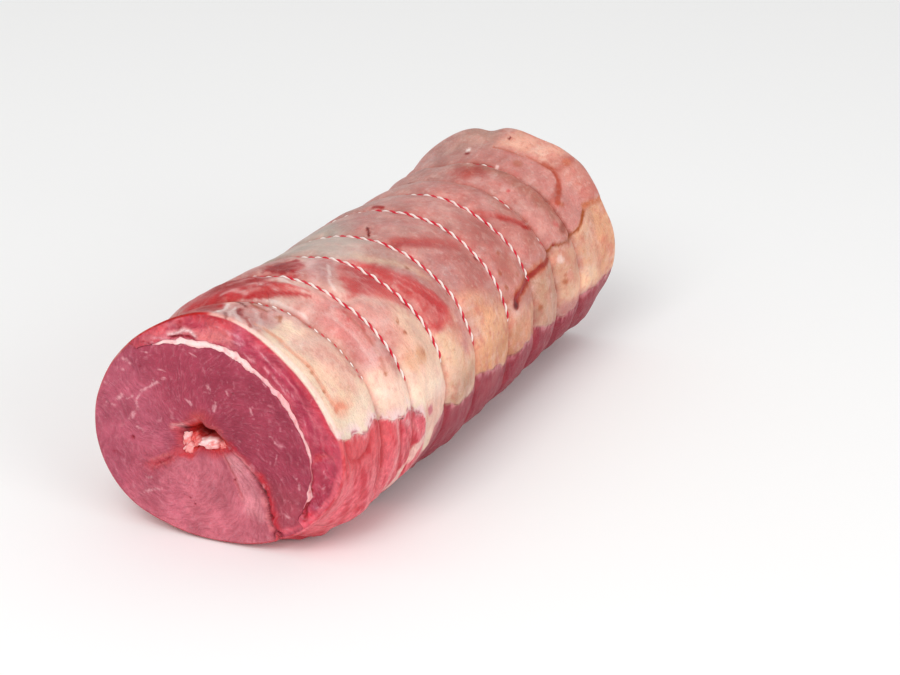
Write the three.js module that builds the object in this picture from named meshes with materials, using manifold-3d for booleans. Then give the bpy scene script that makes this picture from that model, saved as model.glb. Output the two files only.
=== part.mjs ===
// Raw beef brisket, boned, rolled and tied with string, lying on a flat spot along its underside.
// Millimetres, +Z up. The roll lies along Y with its front cut face towards -Y. The origin is on
// the surface that it lies on, under the middle of the roll.
//
// The roll is one slab of meat wound around a small hollow. From the outside in it is a fat cover,
// an outer muscle, a seam of fat and the thick inner muscle. Each layer runs from end to end and
// shows at both cut faces. Eight loops of string press grooves into it.
//
// An angle goes around the roll's axis as seen from the front: 0 towards +X, 90 degrees up.
import * as THREE from "three";
import { mergeVertices } from "three/addons/utils/BufferGeometryUtils.js";
import Module from "manifold-3d";

// Driving dimensions
const LENGTH = 330;
const HALF_WIDTH = 69.2; // at the thickest loop of string
const CROWN = 62.6; // from the axis up to the string
const BELLY = 53; // from the axis down, before the roll settles flat
const AXIS_HEIGHT = 52;
const CROWN_POWER = 1.93; // superellipse powers of the upper and the lower half
const BELLY_POWER = 2.7;
const LAYER_GAP = 0.3; // between pieces that lie on each other
const SIDE_SHIFT = -1.9; // brings the middle of the whole width over the origin, as the roll bows

// Girth along the roll as a share of the thickest loop, and how far the axis bows sideways
const GIRTH = [[0, 0.955], [45, 0.985], [61, 1], [100, 0.98], [142, 0.96], [190, 0.948], [230, 0.92],
  [272, 0.905], [293, 0.92], [LENGTH, 0.95]];
const BOW = [[0, 0], [60, 2.2], [105, 2.4], [190, 0.4], [272, -1.2], [LENGTH, 0]];
// Outline of the two cut faces: the radius at every 30 degrees, from angle 0
const FRONT_OUTLINE = [66.6, 64, 63.3, 66.6, 64.2, 65.5, 67, 62.6, 53, 48.8, 51.6, 58.4];
const BACK_OUTLINE = [67, 68, 68.2, 65.5, 64.5, 62.5, 64, 61.5, 54, 48, 53, 60.5];
const END_BLEND = 24; // length over which a cut face's outline becomes the body's
const END_ROUNDING = 0.6;
const PILLOW = 1.3; // rise of the flesh halfway between two strings
// How far the flesh stands proud of the strings, as a share, at every 45 degrees from angle 0
const SOFTNESS = [1, 0.9, 0.5, 0.05, 0.3, 0.6, 0.5, 0.3];
// Swells and dents: distance from the front face, angle, rise, and how far each fades along and around
const SWELLS = [
  { from: 20, angle: -52, rise: 2, along: 18, around: 14 },
  { from: 52, angle: -40, rise: -2.6, along: 9, around: 22 },
  { from: 84, angle: -30, rise: -1.8, along: 14, around: 18 },
  { from: 30, angle: 128, rise: -1.5, along: 24, around: 20 },
  { from: 120, angle: 128, rise: -1.8, along: 40, around: 22 },
  { from: 312, angle: 140, rise: -2.5, along: 16, around: 24 },
];

// String
const STRING_RADIUS = 0.75;
const STRING_SIDES = 5;
const GROOVE_DEPTH = 2.2;
const GROOVE_WIDTH = 2.6;
// Each loop: distance from the front face, how much deeper than the rest it has sunk, knot angle
const LOOPS = [
  { from: 36, sunk: 0.8, knot: 203 },
  { from: 64, sunk: 0.3, knot: 187 },
  { from: 103.5, sunk: 0, knot: 199 },
  { from: 143.5, sunk: 0, knot: 205 },
  { from: 190.5, sunk: 0, knot: 201 },
  { from: 229.5, sunk: 0.4, knot: 194 },
  { from: 264, sunk: 1.8, knot: 205 },
  { from: 293, sunk: 1.2, knot: 189 },
];
const KNOT_SIZE = { out: 2, along: 2.6, around: 2.2 };
const KNOT_LIFT = 1.5; // from the string's middle to the knot's
const SUNK_KNOT_LIFT = 0.22; // and more by this share of how deep the loop has sunk
const TAIL_LENGTH = 16;
const TAIL_SIDES = 4;
const TAIL_STEPS = 3;

// Layers, as depths below the flesh's surface at an angle in degrees
const LAYER_STEP = 9; // degrees between the corners of a layer's section; the spans are multiples
const OUTER_MUSCLE_SPAN = [-36, 135];
const SEAM_SPAN = [-27, 126];
const SEAM_DEPTH = [[-36, 5.5], [-32, 7], [-22, 10], [-10, 14.4], [0, 17.4], [16, 18.5], [38, 17.8],
  [62, 17.2], [88, 16.4], [99, 15.2], [110, 11.8], [121, 8.6], [135, 5]];
const SEAM_HALF_THICKNESS = [[-27, 0.4], [-18, 0.9], [0, 0.5], [20, 0.7], [45, 1.1], [62, 1.4],
  [80, 2], [100, 1.8], [110, 2.1], [126, 0.4]];
const COVER_THICKNESS = 2.2;
// Lower and upper edge of the fat cover: the angle at a distance from the front face
const COVER_LOWER_EDGE = [[0, 12], [14, 9], [24, 10], [32, 4], [42, 7], [52, 2], [60, 5], [66, -4], [72, -22],
  [80, -20], [86, -9], [100, -6], [124, -9], [150, -5], [190, -12], [228, -7], [262, -13], [LENGTH, -8]];
const COVER_UPPER_EDGE = [[0, 74], [20, 78], [40, 84], [52, 96], [64, 112], [90, 132], [130, 146], [190, 153],
  [250, 148], [LENGTH, 152]];

// Hollow at the middle of each cut face, and the fat that lies in the front one
const HOLLOW = { x: -9, z: 53, halfWidth: 13.5, halfHeight: 8.2, depth: 38 };
const HOLLOW_END_SHARE = 0.3; // its width at the inner end, as a share of that at the mouth
const HOLLOW_LOBES = [[2, 0.14, 0.9], [3, 0.12, 2.1], [5, 0.07, 0.4]]; // count, share of radius, phase
const FAT_LUMPS = [
  { x: -16.4, z: 49.4, y: 9.5, half: [3.6, 9, 4] },
  { x: -11.2, z: 48.6, y: 12, half: [4.6, 9, 2.4] },
  { x: -4.6, z: 50.2, y: 10.5, half: [7.2, 9, 2.9] },
];

// The slit where the slab's end meets the turn beneath it, from the hollow to the underside
const SLIT = [[3, 48], [12, 45.5], [18, 40.5], [22.5, 34], [25.5, 27], [28, 18.5], [30.5, 8]];
const SLIT_WIDTH = 1.2;
const SLIT_DEPTH = 12;
const SLIT_TIP = 0.24; // its width at its inner end
const FURROW = { angle: -52, halfSpan: 2.2, depth: 4.5 };

const REACH = 110; // past the roll's surface, for the solids that cut it
const STEPS_ROUND = 32;
const FRONT = -LENGTH / 2;
const BACK = LENGTH / 2;

const wasm = await Module();
wasm.setup();

const radians = THREE.MathUtils.degToRad;
const degrees = THREE.MathUtils.radToDeg;
const mix = THREE.MathUtils.lerp;
const smooth = THREE.MathUtils.smoothstep;

// A smooth function through [place, value] pairs, level at both ends.
function through(pairs) {
  return (at) => {
    if (at <= pairs[0][0]) return pairs[0][1];
    const i = pairs.findIndex(([place]) => place >= at);
    if (i < 0) return pairs[pairs.length - 1][1];
    const [[a, low], [b, high]] = [pairs[i - 1], pairs[i]];
    return mix(low, high, smooth(at, a, b));
  };
}

// A smooth closed function of an angle in radians, through values at equal steps.
function around(values) {
  const n = values.length;
  return (theta) => {
    const t = (((theta / (2 * Math.PI)) % 1) + 1) % 1 * n;
    const i = Math.floor(t);
    const u = t - i;
    const [p, q, r, s] = [-1, 0, 1, 2].map((k) => values[(i + k + n) % n]);
    return q + 0.5 * u * (r - p + u * (2 * p - 5 * q + 4 * r - s + u * (3 * (q - r) + s - p)));
  };
}

const girthAt = through(GIRTH);
const bowAt = through(BOW);
const softness = around(SOFTNESS);
const frontOutline = around(FRONT_OUTLINE);
const backOutline = around(BACK_OUTLINE);
const seamDepth = through(SEAM_DEPTH);
const seamHalfThickness = through(SEAM_HALF_THICKNESS);

// Lengths below are along Y in the part's frame, and the tables start at the front face.
const fromFront = (y) => y - FRONT;
const girth = (y) => girthAt(fromFront(y));
const axisHeight = (y) => AXIS_HEIGHT * girth(y);
const place = (loop) => FRONT + loop.from;

// The point at an angle and radius from the roll's axis, as x and z.
function point(theta, radius, y) {
  return new THREE.Vector2(
    bowAt(fromFront(y)) + radius * Math.cos(theta),
    axisHeight(y) + radius * Math.sin(theta),
  );
}

function bodyOutline(theta) {
  const [across, up] = [Math.abs(Math.cos(theta)), Math.sin(theta)];
  const [rise, power] = up >= 0 ? [CROWN, CROWN_POWER] : [BELLY, BELLY_POWER];
  return ((across / HALF_WIDTH) ** power + (Math.abs(up) / rise) ** power) ** (-1 / power);
}

// Rise of the flesh between two strings, 0 at each string.
function pillow(y) {
  const places = LOOPS.map(place);
  const next = places.findIndex((p) => p > y);
  if (next < 1) return 0;
  const share = (y - places[next - 1]) / (places[next] - places[next - 1]);
  return PILLOW * Math.sin(Math.PI * share) ** 2 * Math.min(1, (places[next] - places[next - 1]) / 30);
}

function swell(theta, y) {
  return SWELLS.reduce((sum, { from, angle, rise, along, around: spread }) => {
    const turn = ((((degrees(theta) - angle) % 360) + 540) % 360) - 180;
    return sum + rise * Math.exp(-(((fromFront(y) - from) / along) ** 2) - (turn / spread) ** 2);
  }, 0);
}

// Radius of the flesh as if no string pressed into it, level on the underside.
function fleshRadius(theta, y) {
  const proud = GROOVE_DEPTH - LAYER_GAP - STRING_RADIUS + pillow(y);
  let radius = bodyOutline(theta) * girth(y) + proud * softness(theta) + swell(theta, y);
  radius = mix(frontOutline(theta), radius, smooth(y, FRONT, FRONT + END_BLEND));
  radius = mix(backOutline(theta), radius, smooth(-y, FRONT, FRONT + END_BLEND));
  const down = -Math.sin(theta);
  return down > 0 ? Math.min(radius, axisHeight(y) / down) : radius;
}

const grooveWidth = (loop) => GROOVE_WIDTH + 0.5 * loop.sunk;

function grooveDepth(y) {
  return LOOPS.reduce((sum, loop) => {
    const away = (y - place(loop)) / grooveWidth(loop);
    return sum + (GROOVE_DEPTH + loop.sunk) * Math.exp(-(away ** 2));
  }, 0);
}

function surfaceRadius(theta, y) {
  const toEnd = Math.min(y - FRONT, BACK - y);
  const rounding = END_ROUNDING * (1 - smooth(toEnd, 0, 2.5 * END_ROUNDING));
  return fleshRadius(theta, y) - grooveDepth(y) - rounding;
}

function stringRadiusAt(theta, loop) {
  return surfaceRadius(theta, place(loop)) + LAYER_GAP + STRING_RADIUS;
}

// Places along Y where the surface needs a ring: the two ends, both sides of each string, and the
// middle of each stretch between strings.
function surfaceStations() {
  const places = [FRONT, FRONT + 2, FRONT + 12, FRONT + 25];
  LOOPS.forEach((loop, i) => {
    const reach = 1.7 * grooveWidth(loop);
    const at = place(loop);
    places.push(at - reach, at, at + reach);
    const next = LOOPS[i + 1];
    if (next && next.from - loop.from > 30) places.push((at + place(next)) / 2);
  });
  return [...places, BACK - 12, BACK - 2, BACK];
}

// A closed solid through the outline(y) of each station, capped at both ends. Each four-cornered
// face is split along its shorter diagonal, so that layers that lie on each other split alike.
function loft(stations, outline) {
  const rings = stations.map(outline);
  if (THREE.ShapeUtils.area(rings[0]) < 0) rings.forEach((ring) => ring.reverse());
  const count = rings[0].length;
  const positions = rings.flatMap((ring, i) => ring.flatMap((p) => [p.x, stations[i], p.y]));
  const index = [];
  for (let i = 0; i + 1 < rings.length; i++) {
    for (let j = 0; j < count; j++) {
      const next = (j + 1) % count;
      const [a, b] = [i * count + j, i * count + next];
      const [c, d] = [a + count, b + count];
      const rising = rings[i][j].distanceTo(rings[i + 1][next]) < rings[i][next].distanceTo(rings[i + 1][j]);
      index.push(...(rising ? [a, b, d, a, d, c] : [a, b, c, b, d, c]));
    }
  }
  const cap = (ring) => THREE.ShapeUtils.triangulateShape(ring, []);
  const last = (rings.length - 1) * count;
  cap(rings[0]).forEach(([a, b, c]) => index.push(a, c, b));
  cap(rings[rings.length - 1]).forEach(([a, b, c]) => index.push(last + a, last + b, last + c));
  return solid(positions, index);
}

function solid(positions, index) {
  const make = (order) => new wasm.Manifold(
    new wasm.Mesh({ numProp: 3, vertProperties: new Float32Array(positions), triVerts: new Uint32Array(order) }),
  );
  const made = make(index);
  return made.volume() > 0 ? made : make([...index].reverse());
}

function solidFromGeometry(geometry) {
  const bare = geometry.clone();
  bare.deleteAttribute("normal");
  bare.deleteAttribute("uv");
  const merged = mergeVertices(bare, 1e-4);
  return solid([...merged.attributes.position.array], [...merged.index.array]);
}

function geometryFromSolid(made) {
  const mesh = made.getMesh();
  const geometry = new THREE.BufferGeometry();
  geometry.setAttribute("position", new THREE.BufferAttribute(new Float32Array(mesh.vertProperties), 3));
  geometry.setIndex(new THREE.BufferAttribute(new Uint32Array(mesh.triVerts), 1));
  geometry.translate(SIDE_SHIFT, 0, 0);
  geometry.computeVertexNormals();
  return geometry;
}

// The roll at a depth below its surface, from one place along Y to another.
function rollAt(depth, stations) {
  return loft(stations, (y) =>
    Array.from({ length: STEPS_ROUND }, (_, i) => {
      const theta = (i / STEPS_ROUND) * 2 * Math.PI;
      return point(theta, surfaceRadius(theta, y) - depth, y);
    }));
}

// What lies at the angles(y), in degrees, between the radii inner(theta, y) and outer(theta, y).
function wedge(stations, angles, inner, outer = () => REACH) {
  return loft(stations, (y) => {
    const side = (radius) => angles(y).map((angle) => point(radians(angle), radius(radians(angle), y), y));
    return [...side(inner), ...side(outer).reverse()];
  });
}

// The corners of a layer's section, in degrees, with its two ends moved out by a margin.
function layerAngles([from, to], margin = 0) {
  const count = (to - from) / LAYER_STEP;
  const angles = Array.from({ length: count + 1 }, (_, i) => from + i * LAYER_STEP);
  return [from - margin, ...angles.slice(1, -1), to + margin];
}

// Places for the solids that cut the roll: a few, and past both ends.
function cuttingStations(count) {
  const places = Array.from({ length: count + 1 }, (_, i) => mix(FRONT, BACK, i / count));
  return [FRONT - 2, ...places, BACK + 2];
}

// The region of the fat cover, grown by a gap on its hidden sides.
function coverRegion(gap) {
  const [lower, upper] = [through(COVER_LOWER_EDGE), through(COVER_UPPER_EDGE)];
  const margin = degrees(gap / HALF_WIDTH);
  const edges = [...COVER_LOWER_EDGE, ...COVER_UPPER_EDGE].map(([from]) => FRONT + from);
  const stations = [...new Set([FRONT - 2, ...edges, BACK + 2])].sort((a, b) => a - b);
  const angles = (y) => {
    const [from, to] = [lower(fromFront(y)) - margin, upper(fromFront(y)) + margin];
    return [from, mix(from, to, 1 / 3), mix(from, to, 2 / 3), to];
  };
  const sector = wedge(stations, angles, () => 0.4 * HALF_WIDTH);
  return sector.subtract(rollAt(COVER_THICKNESS + gap, [FRONT - 3, ...surfaceStations(), BACK + 3]));
}

// Radius of the middle of the fat seam, or where the two muscles meet beyond its ends.
const seamRadius = (theta, y) => fleshRadius(theta, y) - seamDepth(degrees(theta));

// Half the room between the two muscles: the seam with its gaps, or a bare gap beyond its ends.
function seamRoom(theta) {
  const angle = degrees(theta);
  const within = angle > SEAM_SPAN[0] - 1 && angle < SEAM_SPAN[1] + 1;
  return within ? seamHalfThickness(angle) + LAYER_GAP : LAYER_GAP / 2;
}

function seamSolid() {
  return wedge(
    cuttingStations(7),
    () => layerAngles(SEAM_SPAN),
    (theta, y) => seamRadius(theta, y) - seamHalfThickness(degrees(theta)),
    (theta, y) => seamRadius(theta, y) + seamHalfThickness(degrees(theta)),
  );
}

// The outer muscle's region when side is 1, or all that the inner muscle leaves free when it is -1.
function outerRegion(side) {
  const margin = side < 0 ? degrees(LAYER_GAP / HALF_WIDTH) : 0;
  return wedge(
    cuttingStations(7),
    () => layerAngles(OUTER_MUSCLE_SPAN, margin),
    (theta, y) => seamRadius(theta, y) + side * seamRoom(theta),
  );
}

// The hollow's outline at a share of its depth, 0 at the mouth.
function hollowOutline(share, steps) {
  const size = mix(1, HOLLOW_END_SHARE, share);
  return Array.from({ length: steps }, (_, i) => {
    const theta = (i / steps) * 2 * Math.PI;
    const lobes = HOLLOW_LOBES.reduce((sum, [n, depth, phase]) => sum + depth * Math.sin(n * theta + phase), 1);
    return new THREE.Vector2(
      HOLLOW.x + HOLLOW.halfWidth * size * lobes * Math.cos(theta),
      HOLLOW.z + HOLLOW.halfHeight * size * lobes * Math.sin(theta),
    );
  });
}

function hollow(end) {
  const outwards = Math.sign(end);
  const shares = [0, 0.5, 1];
  const stations = [end + 2 * outwards, ...shares.map((share) => end - outwards * HOLLOW.depth * share)];
  const outlines = new Map(stations.map((y, i) => [y, hollowOutline(i === 0 ? 0 : shares[i - 1], 20)]));
  return loft([...stations].sort((a, b) => a - b), (y) => outlines.get(y));
}

// A thin wedge along the slit, widest at the cut face.
function slit(end) {
  const outwards = Math.sign(end);
  const line = new THREE.SplineCurve(SLIT.map(([x, z]) => new THREE.Vector2(x, z))).getPoints(12);
  const outline = (halfWidth) => {
    const side = (sign) => line.map((p, i) => {
      const along = line[Math.min(i + 1, line.length - 1)].clone().sub(line[Math.max(i - 1, 0)]).normalize();
      return new THREE.Vector2(p.x - sign * halfWidth * along.y, p.y + sign * halfWidth * along.x);
    });
    return [...side(1), ...side(-1).reverse()];
  };
  const stations = [end + 2 * outwards, end - outwards * SLIT_DEPTH];
  const widths = new Map([[stations[0], SLIT_WIDTH / 2], [stations[1], SLIT_TIP / 2]]);
  return loft([...stations].sort((a, b) => a - b), (y) => outline(widths.get(y)));
}

// The furrow along the underside where the slab's edge ends.
function furrow() {
  const { angle, halfSpan, depth } = FURROW;
  return loft(cuttingStations(8), (y) => {
    const radius = fleshRadius(radians(angle), y);
    return [
      point(radians(angle), radius - depth, y),
      point(radians(angle + halfSpan), radius + 4, y),
      point(radians(angle - halfSpan), radius + 4, y),
    ];
  });
}

// The fat in the front hollow: lumps grown into each other, with a gap around them or none.
function centreFat(gap) {
  return FAT_LUMPS.map(({ x, z, y, half }) => {
    const lump = new THREE.IcosahedronGeometry(1, 1);
    lump.scale(...half.map((length) => length + gap));
    lump.translate(x, FRONT + y, z);
    return solidFromGeometry(lump);
  }).reduce((all, lump) => all.add(lump));
}

const knotRadius = (loop) =>
  stringRadiusAt(radians(loop.knot), loop) + KNOT_LIFT + SUNK_KNOT_LIFT * loop.sunk;

// A closed ring of string around the roll.
function stringRing(loop) {
  const centres = Array.from({ length: STEPS_ROUND }, (_, i) => (i / STEPS_ROUND) * 2 * Math.PI);
  const positions = [];
  for (const theta of centres) {
    for (let j = 0; j < STRING_SIDES; j++) {
      const turn = (j / STRING_SIDES) * 2 * Math.PI;
      const p = point(theta, stringRadiusAt(theta, loop) - STRING_RADIUS * Math.cos(turn), place(loop));
      positions.push(p.x, place(loop) + STRING_RADIUS * Math.sin(turn), p.y);
    }
  }
  const index = [];
  for (let i = 0; i < STEPS_ROUND; i++) {
    for (let j = 0; j < STRING_SIDES; j++) {
      const [k, l] = [(i + 1) % STEPS_ROUND, (j + 1) % STRING_SIDES];
      const [a, b, c, d] = [
        i * STRING_SIDES + j, i * STRING_SIDES + l, k * STRING_SIDES + j, k * STRING_SIDES + l,
      ];
      index.push(a, c, b, b, c, d);
    }
  }
  return solid(positions, index);
}

// One cut end of a string, which leaves the knot and lies on the flesh.
function stringTail(loop, side) {
  const start = radians(loop.knot);
  const points = Array.from({ length: TAIL_STEPS + 1 }, (_, i) => {
    const share = i / TAIL_STEPS;
    const y = place(loop) + side * TAIL_LENGTH * 0.75 * share;
    const theta = start + (side * 0.3 + 0.55) * share * (TAIL_LENGTH / HALF_WIDTH);
    const clear = surfaceRadius(theta, y) + LAYER_GAP + 1.5 * STRING_RADIUS;
    const p = point(theta, Math.max(clear, mix(knotRadius(loop), clear, smooth(share, 0, 0.5))), y);
    return new THREE.Vector3(p.x, y, p.y);
  });
  const path = new THREE.CatmullRomCurve3(points);
  const section = new THREE.Shape(Array.from({ length: TAIL_SIDES }, (_, j) => {
    const turn = (j / TAIL_SIDES) * 2 * Math.PI;
    return new THREE.Vector2(STRING_RADIUS * Math.cos(turn), STRING_RADIUS * Math.sin(turn));
  }));
  return solidFromGeometry(new THREE.ExtrudeGeometry(section, { steps: TAIL_STEPS, extrudePath: path }));
}

function stringKnot(loop) {
  const theta = radians(loop.knot);
  const knot = new THREE.IcosahedronGeometry(1, 1);
  knot.scale(KNOT_SIZE.out, KNOT_SIZE.along, KNOT_SIZE.around);
  knot.rotateY(-theta);
  const p = point(theta, knotRadius(loop), place(loop));
  knot.translate(p.x, place(loop), p.y);
  return solidFromGeometry(knot);
}

function tiedString(loop) {
  return [stringKnot(loop), stringTail(loop, 1), stringTail(loop, -1)]
    .reduce((all, piece) => all.add(piece), stringRing(loop));
}

// Colour and roughness of each material
const LOOKS = {
  innerMuscle: { color: 0xb8606f, roughness: 0.4 },
  outerMuscle: { color: 0xc66a76, roughness: 0.4 },
  seamFat: { color: 0xf0d5ca, roughness: 0.45 },
  centreFat: { color: 0xe6a9a4, roughness: 0.42 },
  coverFat: { color: 0xe0ae9c, roughness: 0.42 },
  string: { color: 0xeccfcb, roughness: 0.85 },
};

function node(name, made, look) {
  const material = new THREE.MeshStandardMaterial({ ...look, metalness: 0 });
  const mesh = new THREE.Mesh(geometryFromSolid(made), material);
  mesh.name = name;
  return mesh;
}

// The muscle that lies inside the seam, with the hollow and the slit at both of its ends.
function innerMuscle(flesh) {
  let muscle = flesh.subtract(outerRegion(-1));
  for (const end of [FRONT, BACK]) {
    muscle = muscle.subtract(hollow(end)).subtract(slit(end));
  }
  return muscle.subtract(centreFat(LAYER_GAP));
}

function rolledBrisket() {
  const group = new THREE.Group();
  const roll = rollAt(0, surfaceStations()).subtract(furrow());
  const flesh = roll.subtract(coverRegion(LAYER_GAP));
  group.add(
    node("inner_muscle", innerMuscle(flesh), LOOKS.innerMuscle),
    node("fat_seam", flesh.intersect(seamSolid()), LOOKS.seamFat),
    node("outer_muscle", flesh.intersect(outerRegion(1)), LOOKS.outerMuscle),
    node("fat_cover", roll.intersect(coverRegion(0)), LOOKS.coverFat),
    node("centre_fat", centreFat(0), LOOKS.centreFat),
  );
  LOOPS.forEach((loop, i) => group.add(node(`string_${i + 1}`, tiedString(loop), LOOKS.string)));
  return group;
}

export default rolledBrisket();
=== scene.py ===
"""Raw rolled beef brisket, tied with red and white string, on a pale floor.

Shapes are worked out in millimetres in the roll's own terms: f is the distance from the front cut
face, and an angle goes around the axis as seen from the front, 0 to the right and 90 degrees up.
to_part() turns these into the part's metres.
"""
import functools
import math
from collections import namedtuple

import bpy
import numpy as np
from mathutils import Euler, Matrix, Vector


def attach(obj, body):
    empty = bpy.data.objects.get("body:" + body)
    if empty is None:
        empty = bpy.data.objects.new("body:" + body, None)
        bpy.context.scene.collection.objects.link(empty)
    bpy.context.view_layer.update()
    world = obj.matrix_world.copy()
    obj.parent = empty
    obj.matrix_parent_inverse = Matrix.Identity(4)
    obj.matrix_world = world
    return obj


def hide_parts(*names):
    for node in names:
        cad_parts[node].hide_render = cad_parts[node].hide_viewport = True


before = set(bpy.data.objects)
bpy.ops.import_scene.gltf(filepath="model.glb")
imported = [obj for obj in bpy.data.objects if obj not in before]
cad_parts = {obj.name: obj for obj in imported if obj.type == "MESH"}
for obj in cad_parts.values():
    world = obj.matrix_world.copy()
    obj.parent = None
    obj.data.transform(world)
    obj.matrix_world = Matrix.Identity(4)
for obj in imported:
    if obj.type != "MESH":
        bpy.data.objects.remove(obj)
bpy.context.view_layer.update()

STEP = 1.0

MM = 0.001
LENGTH = 330.0
SIDE_SHIFT = -1.9
HALF_WIDTH, CROWN, BELLY, AXIS_HEIGHT = 69.2, 62.6, 53.0, 52.0
CROWN_POWER, BELLY_POWER = 1.93, 2.7
ROUND_MM = 1.18  # millimetres around the skin for one degree

GIRTH = [(0, .955), (45, .985), (61, 1), (100, .98), (142, .96), (190, .948), (230, .92), (272, .905),
         (293, .92), (LENGTH, .95)]
BOW = [(0, 0), (60, 2.2), (105, 2.4), (190, .4), (272, -1.2), (LENGTH, 0)]
FRONT_AXIS = AXIS_HEIGHT * GIRTH[0][1]
FRONT_OUTLINE = [66.6, 64, 63.3, 66.6, 64.2, 65.5, 67, 62.6, 53, 48.8, 51.6, 58.4]
BACK_OUTLINE = [67, 68, 68.2, 65.5, 64.5, 62.5, 64, 61.5, 54, 48, 53, 60.5]
END_BLEND = 24.0
END_ROUNDING = .7
PILLOW = 1.3
SOFTNESS = [1, .9, .5, .05, .3, .6, .5, .3]
# Broad rises of the roll: distance from the front, angle, rise, spread along, spread around in degrees
SWELLS = [(20, -52, 2, 18, 14), (52, -40, -2.6, 9, 22), (84, -30, -1.8, 14, 18), (30, 128, -1.5, 24, 20),
          (120, 128, -1.8, 40, 22), (312, 140, -2.5, 16, 24)]
STRING_RADIUS = .75
GROOVE_DEPTH, GROOVE_WIDTH = 2.2, 2.6
# A loop of string: distance from the front, how much deeper it has sunk, the knot's angle, height over
# the skin where it shows, and the angles between which it shows
Loop = namedtuple("Loop", "at sunk knot lift spans")
LOOPS = [
    Loop(36, .8, 203, -.74, [(26, 60), (69.5, 98)]), Loop(64, .3, 187, .3, [(16, 112)]),
    Loop(103.5, 0, 199, .48, [(14, 200)]), Loop(143.5, 0, 205, .5, [(10, 200)]),
    Loop(190.5, 0, 201, .64, [(9, 200)]), Loop(229.5, .4, 194, .6, [(17, 200)]),
    Loop(264, 1.8, 205, .2, [(25, 33), (51, 65)]), Loop(293, 1.2, 189, .2, [(76, 97)]),
]
OUTER_SPAN = (-36, 135)
SEAM_SPAN = (-27, 126)
SEAM_DEPTH = [(-36, 5.5), (-32, 7), (-22, 10), (-10, 14.4), (0, 17.4), (16, 18.5), (38, 17.8), (62, 17.2),
              (88, 16.4), (99, 15.2), (110, 11.8), (121, 8.6), (135, 5)]
SEAM_HALF = [(-27, .15), (-23, .2), (-21, .7), (-17, 1.5), (-13.5, .6), (-10, .25), (-1, .22), (2, .5),
             (7, .8), (14, .75), (24, .85), (30, 1.2), (37, 1.6), (44, 1.5), (51, 1.1), (59, 1.1), (64, 1.3),
             (71, 1.75), (80, 2.1), (85, 1.6), (90, 1.25), (98, 1.45), (107, 1.7), (112, 1.5), (117, 1),
             (122, .6), (126, .3)]
COVER_THICKNESS, COVER_EDGE = 2.2, .18
LAYER_GAP, INNER_COVER_GAP = .12, .1  # between two layers, and between the cover and the inner muscle
COVER_LOWER = [(0, 12.5), (12, 10.8), (22, 9.6), (28, 11.3), (36, 9.6), (45, 7.3), (50, 5.6), (57, 7.6),
               (63, 5), (70, 1.3), (73, -2), (77, -19), (82, -18), (87, -9), (100, -6), (124, -8), (150, -5),
               (190, -10), (228, -7), (262, -12), (LENGTH, -8)]
COVER_UPPER = [(0, 74), (20, 78), (40, 84), (52, 96), (64, 112), (90, 132), (130, 146), (190, 153),
               (250, 148), (LENGTH, 152)]
HOLLOW_CENTRE = np.array([-8.0, 53.0])
HOLLOW = [(-24, 55.6), (-21.4, 56.4), (-18.8, 57.3), (-15.6, 58.8), (-13, 60.4), (-11.4, 61.4), (-9.8, 61.2),
          (-8.4, 59.9), (-7.2, 58.3), (-5, 57.7), (-1.2, 57.7), (.6, 55.4), (3.8, 53.2), (6.4, 50.4),
          (5, 48.6), (2, 46.4), (-.2, 45.4), (-3.7, 45.7), (-7.7, 46.2), (-11.2, 46.2), (-12, 44.8),
          (-13.7, 43.2), (-17.2, 42.8), (-19.2, 44.6), (-20.4, 47.6), (-20.9, 51.4), (-21.3, 54.8)]
HOLLOW_DEPTH, HOLLOW_LIP = 38.0, 1.6
HOLLOW_END, HOLLOW_DRIFT = .22, (3, 1.2)  # the bottom's share of the mouth's size, and its shift
SLIT = [(5, 49), (10, 46), (14.6, 42.4), (18.4, 38.6), (21.8, 34), (24.6, 29), (26.4, 24), (27.8, 17),
        (30.8, 9)]
SLIT_ANGLE, SLIT_DEPTH, SLIT_WIDTH = -52, 3.6, 1.5  # where the slit comes out on the skin


# Curves and noise

def smooth(t):
    t = np.clip(t, 0, 1)
    return t * t * (3 - 2 * t)


def mix(a, b, t):
    return a + (b - a) * t


def bell(distance, width):
    return np.exp(-(distance / width) ** 2)


def through(pairs):
    """A smooth curve through pairs of place and value."""
    xs, ys = (np.array(v, float) for v in zip(*pairs))

    def curve(at):
        at = np.asarray(at, float)
        i = np.clip(np.searchsorted(xs, at) - 1, 0, len(xs) - 2)
        return mix(ys[i], ys[i + 1], smooth((at - xs[i]) / (xs[i + 1] - xs[i])))
    return curve


def around(values):
    """A closed curve of the angle in radians through values at even angles."""
    values = np.array(values, float)
    n = len(values)

    def curve(theta):
        t = np.mod(theta / (2 * math.pi), 1) * n
        i = np.floor(t).astype(int)
        u = t - i
        p, q, r, s = (values[(i + k + n) % n] for k in (-1, 0, 1, 2))
        return q + .5 * u * (r - p + u * (2 * p - 5 * q + 4 * r - s + u * (3 * (q - r) + s - p)))
    return curve


@functools.cache
def random_grid(seed):
    return np.random.default_rng(seed).uniform(-1, 1, (256, 256))


def value_noise(u, v, seed):
    """Smooth noise from -1 to 1 with features about one unit wide."""
    u, v = np.broadcast_arrays(np.asarray(u, float), np.asarray(v, float))
    grid = random_grid(seed)
    i, j = np.floor(u).astype(int), np.floor(v).astype(int)
    a, b = smooth(u - i), smooth(v - j)
    near, far = (mix(grid[i % 256, k % 256], grid[(i + 1) % 256, k % 256], a) for k in (j, j + 1))
    return mix(near, far, b)


def fbm(u, v, size, seed, octaves=3, gain=.5):
    """Noise with features about this size, and finer ones of less weight over them."""
    total, scale, weight = 0, 1 / size, 1
    for k in range(octaves):
        total = total + weight * value_noise(u * scale + 7.3 * k, v * scale + 3.1 * k, seed + k)
        scale, weight = scale * 2.03, weight * gain
    return total


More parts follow.
